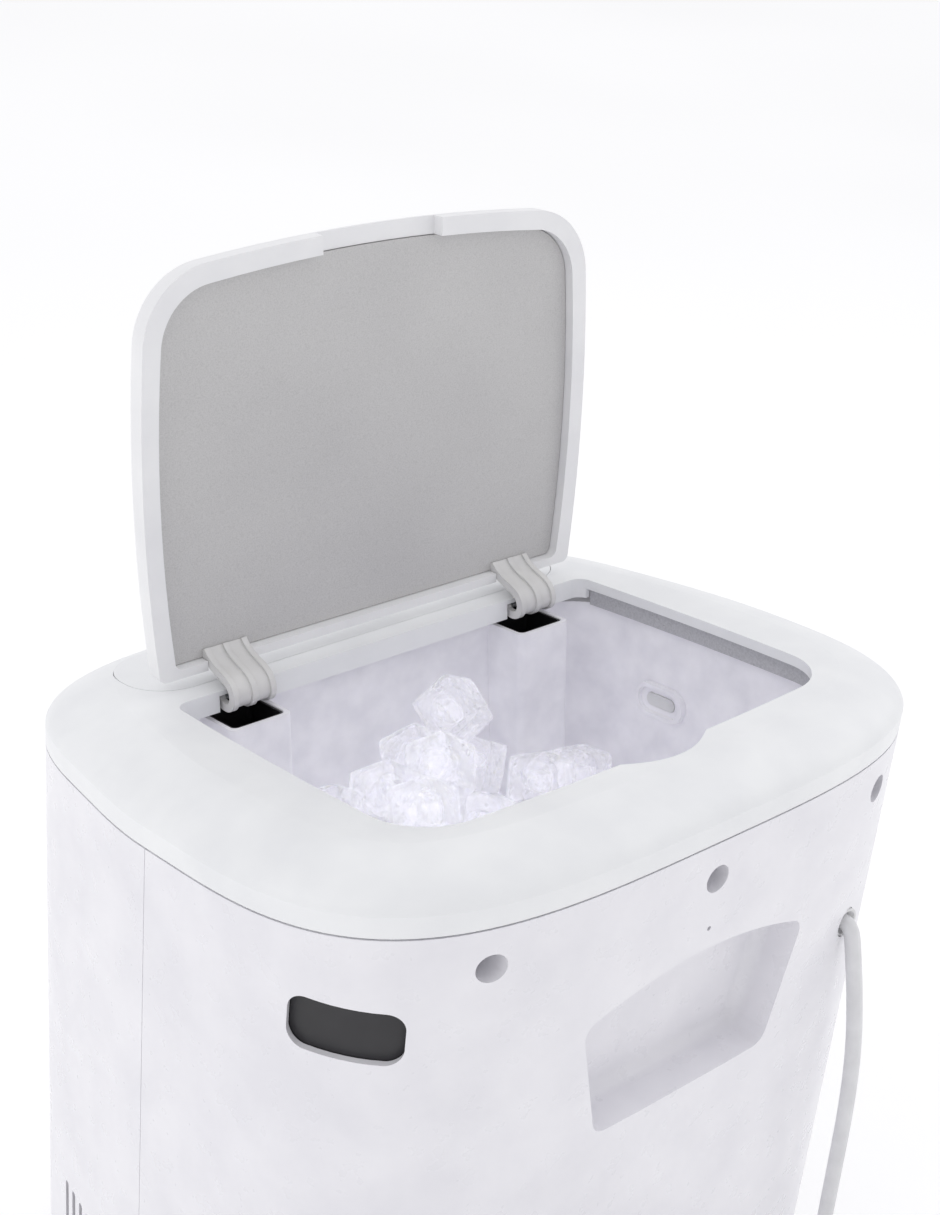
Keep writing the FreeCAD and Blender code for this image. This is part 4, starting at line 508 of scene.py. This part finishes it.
def leadPoints():
    hang = lead["hang"] / mm
    face = exitY / mm
    x, z = lead["x"] / mm, lead["z"] / mm
    route = [(x, face - 9.5, z), (x, face - 3, z), (x, face + 3.5, z - 0.5), (-99.6, face + 7, 243),
             (-100.6, face + 11, 225), (-102, face + 15, 200), (-103, face + 17, 170), (-104.5, face + 17, 134),
             (-106, face + 17, 92), (-107, hang + 0.6, 52), (-108, hang + 9.4, 29.7), (-109.5, hang + 26, 12.8),
             (-111.0, hang + 48.1, 3.8), (-114.6, hang + 72.0, 3.9)]
    middle = Vector((-72, hang + 96, 0))
    radii = [46.0, 39.2, 32.4, 32.4, 39.2, 46.0]
    heights = [4.0, 4.0, 4.0, 10.8, 10.8, 10.6]
    count = int(lead["turns"] * lead["pointsPerTurn"])
    for i in range(count + 1):
        turn = i / lead["pointsPerTurn"]
        k = min(int(turn), 5)
        part = turn - int(turn)
        ease = max(0.0, (part - 0.6) / 0.4)
        after = min(k + 1, 5)
        radius = radii[k] + (radii[after] - radii[k]) * ease
        height = heights[k] + (heights[after] - heights[k]) * ease
        angle = math.radians(180) - turn * 2 * math.pi
        route.append((middle.x + radius * math.cos(angle), middle.y + radius * math.sin(angle), height))
    route += [(middle.x + 19, middle.y + 50.5, 8.6), (middle.x + 36.7, middle.y + 51.0, 8.0),
              (middle.x + 55.3, middle.y + 41.3, 9.4), (middle.x + 66, middle.y + 22.7, 11.2),
              (middle.x + 66, middle.y + 8, 11.3), (middle.x + 66, middle.y + 1, 11.3)]
    return [Vector(p) * mm for p in route], middle * mm


def makeLead():
    points, middle = leadPoints()
    curve = bpy.data.curves.new("mainsLead", "CURVE")
    curve.dimensions = "3D"
    curve.bevel_depth = lead["diameter"] / 2
    curve.bevel_resolution = 5
    curve.resolution_u = 8
    spline = curve.splines.new("NURBS")
    spline.points.add(len(points) - 1)
    for point, target in zip(points, spline.points):
        target.co = (*point, 1.0)
    spline.order_u = 3
    spline.use_endpoint_u = True
    curve.materials.append(plain["cable"])
    piece = bpy.data.objects.new("mainsLead", curve)
    bpy.context.scene.collection.objects.link(piece)
    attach(piece, "cabinet")
    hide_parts("cord_lead", "cord_coil", "cord_tail")
    return piece, middle


def makeTie(middle):
    mesh = bpy.data.meshes.new("cordTie")
    build = bmesh.new()
    rings = []
    centre = middle + Vector((-0.039 * math.cos(0.9), -0.039 * math.sin(0.9), 0.0075))
    outward = Vector((-math.cos(0.9), -math.sin(0.9), 0))
    along = Vector((-outward.y, outward.x, 0))
    for i in range(28):
        angle = 2 * math.pi * i / 28
        c, s = math.cos(angle), math.sin(angle)
        reach = outward * (math.copysign(abs(c) ** 0.55, c) * 0.0112)
        rise = Vector((0, 0, math.copysign(abs(s) ** 0.55, s) * 0.0071))
        rings.append([build.verts.new(centre + (reach + rise) * grow + along * side)
                      for grow, side in ((1.0, -0.005), (1.07, -0.005), (1.07, 0.005), (1.0, 0.005))])
    for a, b in zip(rings, rings[1:] + rings[:1]):
        for i in range(4):
            build.faces.new((a[i], a[(i + 1) % 4], b[(i + 1) % 4], b[i]))
    bmesh.ops.recalc_face_normals(build, faces=build.faces)
    build.to_mesh(mesh)
    build.free()
    mesh.materials.append(plain["tie"])
    piece = bpy.data.objects.new("cordTie", mesh)
    bpy.context.scene.collection.objects.link(piece)
    lowest = min(v.co.z for v in mesh.vertices)
    for v in mesh.vertices:
        v.co.z += max(0.0, 0.0003 - lowest)
    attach(piece, "cabinet")
    return piece


leadPiece, coilMiddle = makeLead()
tie = makeTie(coilMiddle)
print("mains lead laid")


# ---------- ice: the settled heap, each cube's middle in millimetres and its turn as a quaternion

iceHeap = [
    (-52.9, -5.6, 168.9, -0.53, -0.61, 0.39, 0.45), (-79.0, -18.8, 167.1, 0.12, -0.69, -0.04, -0.71),
    (86.1, 26.0, 173.3, 0.65, -0.55, -0.39, 0.34), (-19.3, -9.6, 168.4, -0.04, 0.51, -0.85, -0.07),
    (91.7, -21.7, 166.8, 0.37, -0.33, -0.65, 0.57), (53.9, 18.0, 172.2, -0.18, -0.22, -0.62, -0.73),
    (24.8, 18.3, 172.3, 0.18, 0.01, -0.07, 0.98), (-80.9, 30.7, 174.0, 0.74, -0.65, -0.16, 0.13),
    (18.5, -5.8, 169.1, -0.68, -0.19, -0.7, 0.07), (48.3, -9.4, 168.6, -1.0, -0.08, -0.01, 0.05),
    (-50.3, 26.9, 173.6, -0.05, 0.73, -0.68, -0.04), (-6.7, 14.9, 172.0, -0.71, -0.06, 0.05, -0.7),
    (66.4, 41.5, 175.7, -0.06, 0.88, 0.47, 0.03), (11.3, 69.2, 179.5, 0.7, -0.1, 0.68, 0.19),
    (36.7, 42.3, 175.9, -0.52, 0.45, -0.55, 0.48), (-39.9, 57.7, 178.0, 0.98, 0.07, -0.01, 0.2),
    (-82.0, 72.2, 180.0, -0.06, 0.82, 0.57, 0.04), (-15.7, 69.6, 179.6, -0.73, -0.05, -0.05, 0.68),
    (-17.7, 38.5, 175.4, 0.71, 0.09, -0.7, -0.01), (-49.1, 79.3, 181.0, 0.84, 0.06, 0.04, -0.55),
    (47.2, 72.3, 180.1, 0.04, -0.66, -0.75, -0.05), (15.3, 46.7, 197.0, -0.54, 0.37, -0.68, 0.32),
    (8.6, -28.8, 186.7, 0.57, -0.42, 0.55, -0.44), (47.9, -25.7, 189.1, -0.7, 0.16, 0.64, 0.28),
    (58.0, 9.1, 193.9, 0.04, -0.03, -0.77, 0.64), (-77.8, 43.4, 198.7, -0.73, 0.68, -0.06, 0.05),
    (-54.0, -26.0, 189.2, -0.62, -0.74, 0.14, 0.22), (-65.5, 3.5, 193.3, 0.56, 0.37, -0.67, 0.3),
    (83.2, -17.0, 190.7, -0.75, 0.64, -0.14, 0.11), (93.2, 49.4, 199.9, 0.15, 0.16, -0.64, -0.74),
    (21.7, 18.1, 195.6, 0.76, -0.64, -0.04, 0.04), (-41.1, -4.2, 192.6, -0.39, 0.34, -0.64, 0.56),
    (-53.1, 28.6, 197.1, -0.0, -0.7, 0.09, -0.71), (-5.3, 4.9, 194.1, -0.11, -0.71, 0.21, -0.66),
    (-12.7, 45.2, 199.7, 0.66, 0.06, -0.05, 0.75), (71.0, 32.7, 198.1, 0.71, 0.06, -0.7, -0.04),
    (-74.5, 70.8, 203.3, 0.01, 0.7, 0.11, -0.71), (43.5, 41.1, 199.3, 0.5, -0.5, 0.42, 0.57),
    (84.6, 75.5, 204.1, -0.53, -0.04, 0.06, -0.84), (-41.8, 67.9, 203.1, -0.57, 0.49, 0.5, -0.43),
    (-10.1, 69.7, 203.4, 0.47, 0.53, 0.54, -0.46), (20.5, 36.1, 217.5, 0.96, 0.28, 0.07, 0.07),
    (-32.2, 30.5, 217.1, 0.34, -0.56, -0.74, 0.14), (-26.0, -33.9, 210.7, -0.47, -0.57, 0.52, -0.43),
    (-49.9, -34.0, 211.2, -0.1, 1.0, 0.0, -0.03), (25.7, 8.5, 217.1, -0.08, 0.07, -0.76, 0.64),
    (50.5, 5.0, 216.7, -0.01, 0.11, -0.99, -0.1), (-89.0, -7.0, 215.1, -0.07, 0.66, -0.04, 0.75),
    (78.4, 6.2, 217.1, 0.08, 0.09, 0.63, 0.77), (4.3, -3.4, 215.9, -0.06, 0.77, -0.63, -0.07),
    (-64.1, -3.8, 215.8, 0.12, -0.66, 0.01, -0.74), (-76.1, 39.6, 221.9, -0.47, -0.02, -0.04, 0.88),
    (-4.9, 40.2, 222.4, 0.71, 0.12, -0.7, 0.01), (46.3, 29.7, 221.1, -0.51, 0.49, -0.42, -0.57),
    (-37.0, -10.3, 215.6, -0.02, 0.0, -1.0, -0.07), (73.5, 39.9, 222.7, -0.02, 0.41, -0.91, -0.07),
    (-53.7, 56.1, 225.0, 0.55, 0.44, -0.62, 0.35), (-52.7, 22.9, 228.3, -0.2, 0.34, 0.25, -0.88),
    (-20.9, 13.8, 234.9, -0.41, 0.02, -0.88, -0.25), (-82.0, 13.7, 237.0, -0.4, -0.51, -0.24, -0.72),
    (-15.6, -12.8, 234.0, 0.17, 0.16, 0.78, -0.58), (-14.8, -37.9, 232.2, -0.49, -0.59, 0.49, -0.41),
    (-68.4, -13.6, 237.2, -0.4, -0.52, 0.58, -0.48), (34.7, -4.6, 238.5, 0.46, 0.04, -0.09, 0.88),
    (-47.9, -37.9, 234.1, -0.7, -0.09, 0.05, -0.71), (72.6, -6.8, 238.4, 0.35, 0.63, 0.49, -0.5),
    (19.1, 19.0, 242.4, -0.08, 0.99, -0.12, -0.01), (51.4, 13.0, 242.0, -0.1, 0.95, 0.31, 0.03),
    (76.0, 24.2, 244.1, 0.68, -0.19, -0.65, -0.28), (-45.1, -13.5, 239.7, -0.48, -0.57, -0.52, 0.41),
    (4.2, -13.1, 251.7, 0.09, 0.14, 0.6, -0.78), (-23.7, -17.0, 255.7, 0.67, -0.3, 0.44, -0.52),
    (0.1, -41.3, 252.6, -0.5, 0.5, -0.58, 0.41), (-83.9, -17.1, 258.3, -0.41, -0.5, 0.6, -0.47),
    (61.4, -17.0, 259.4, 0.43, 0.6, 0.53, -0.42), (30.0, -18.3, 259.5, 0.46, 0.55, 0.44, 0.54),
    (20.0, 14.5, 265.3, -0.08, 0.99, 0.06, 0.0), (-60.7, -18.2, 261.5, -0.39, -0.58, 0.49, 0.52),
    (-37.9, -41.0, 267.3, 0.28, -0.65, 0.71, -0.03), (-8.1, -45.5, 277.0, -0.66, -0.06, -0.75, -0.06),
    (56.2, -21.4, 282.1, -0.99, -0.14, 0.04, 0.0), (27.0, -22.5, 282.4, 0.71, 0.07, 0.7, 0.06),
    (83.5, -24.4, 283.0, 0.51, -0.49, -0.45, -0.54), (25.8, 0.9, 286.6, 0.06, -0.71, 0.07, -0.7),
    (-29.4, -46.6, 294.2, -0.83, -0.12, 0.53, 0.12), (79.6, 85.2, 182.0, 0.754, -0.657, -0.0, 0.0),
    (62.8, 14.9, 267.6, -0.12, 0.695, 0.026, 0.708), (-3.0, -22.6, 286.1, 0.005, 0.001, -0.657, -0.753),
]
cube = {"side": 23.2 * mm, "edge": 2.6 * mm, "hollow": 8.2 * mm, "dimple": 3.4 * mm, "melt": 0.5 * mm, "kinds": 5}


def iceMesh(seed):
    # one frozen cube: rounded edges, a dimple where the water ran last, a trapped air space and melted faces
    rng = random.Random(seed)
    half = cube["side"] / 2
    build = bmesh.new()
    bmesh.ops.create_cube(build, size=cube["side"])
    bmesh.ops.subdivide_edges(build, edges=build.edges[:], cuts=5, use_grid_fill=True)
    for vert in build.verts:
        co = vert.co
        inner = Vector([max(-half + cube["edge"], min(half - cube["edge"], value)) for value in co])
        away = co - inner
        if away.length > 1e-9:
            co = inner + away.normalized() * cube["edge"]
        if vert.co.z > half * 0.99:
            reach = math.hypot(co.x, co.y) / (half * 0.8)
            if reach < 1:
                co.z -= cube["dimple"] * (0.5 + 0.5 * math.cos(math.pi * reach))
        shift = noise.noise_vector(co * 160 + Vector((seed * 7.3, 0, 0)))
        vert.co = co * (1 - 0.02 * rng.random()) + shift * cube["melt"]
    hollow = bmesh.ops.create_icosphere(build, subdivisions=3, radius=cube["hollow"] / 2)["verts"]
    offset = Vector((rng.uniform(-1.5, 1.5), rng.uniform(-1.5, 1.5), rng.uniform(-2.5, 0))) * mm
    for vert in hollow:
        co = vert.co
        box = max(abs(co.x), abs(co.y), abs(co.z)) or 1e-9
        squared = co * (cube["hollow"] / 2 / box)
        vert.co = co.lerp(squared, 0.55) * Vector((1.2, 1.2, 0.8)) + offset + noise.noise_vector(co * 300) * 0.7 * mm
    faces = {face for vert in hollow for face in vert.link_faces}
    bmesh.ops.reverse_faces(build, faces=list(faces))
    for i in range(7):
        spot = Vector([rng.uniform(-0.7, 0.7) * half for axis in range(3)])
        bubble = bmesh.ops.create_icosphere(build, subdivisions=1, radius=rng.uniform(0.25, 0.8) * mm)["verts"]
        for vert in bubble:
            vert.co += spot
        bmesh.ops.reverse_faces(build, faces=list({face for vert in bubble for face in vert.link_faces}))
    for face in build.faces:
        face.smooth = True
    mesh = bpy.data.meshes.new("iceCube%d" % seed)
    build.to_mesh(mesh)
    build.free()
    mesh.materials.append(ice)
    return mesh


iceKinds = [iceMesh(seed) for seed in range(cube["kinds"])]
for i, (x, y, z, qw, qx, qy, qz) in enumerate(iceHeap):
    piece = bpy.data.objects.new("ice%03d" % i, iceKinds[i % cube["kinds"]])
    bpy.context.scene.collection.objects.link(piece)
    piece.rotation_mode = "QUATERNION"
    piece.rotation_quaternion = (qw, qx, qy, qz)
    piece.location = Vector((x, y, z)) * mm
    if i % 3 == 1:
        smooth = piece.modifiers.new("melted", "SUBSURF")
        smooth.levels = smooth.render_levels = 1
    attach(piece, "cabinet")
print("ice in the bin:", len(iceHeap), "cubes")


# ---------- finish

print("scene built")
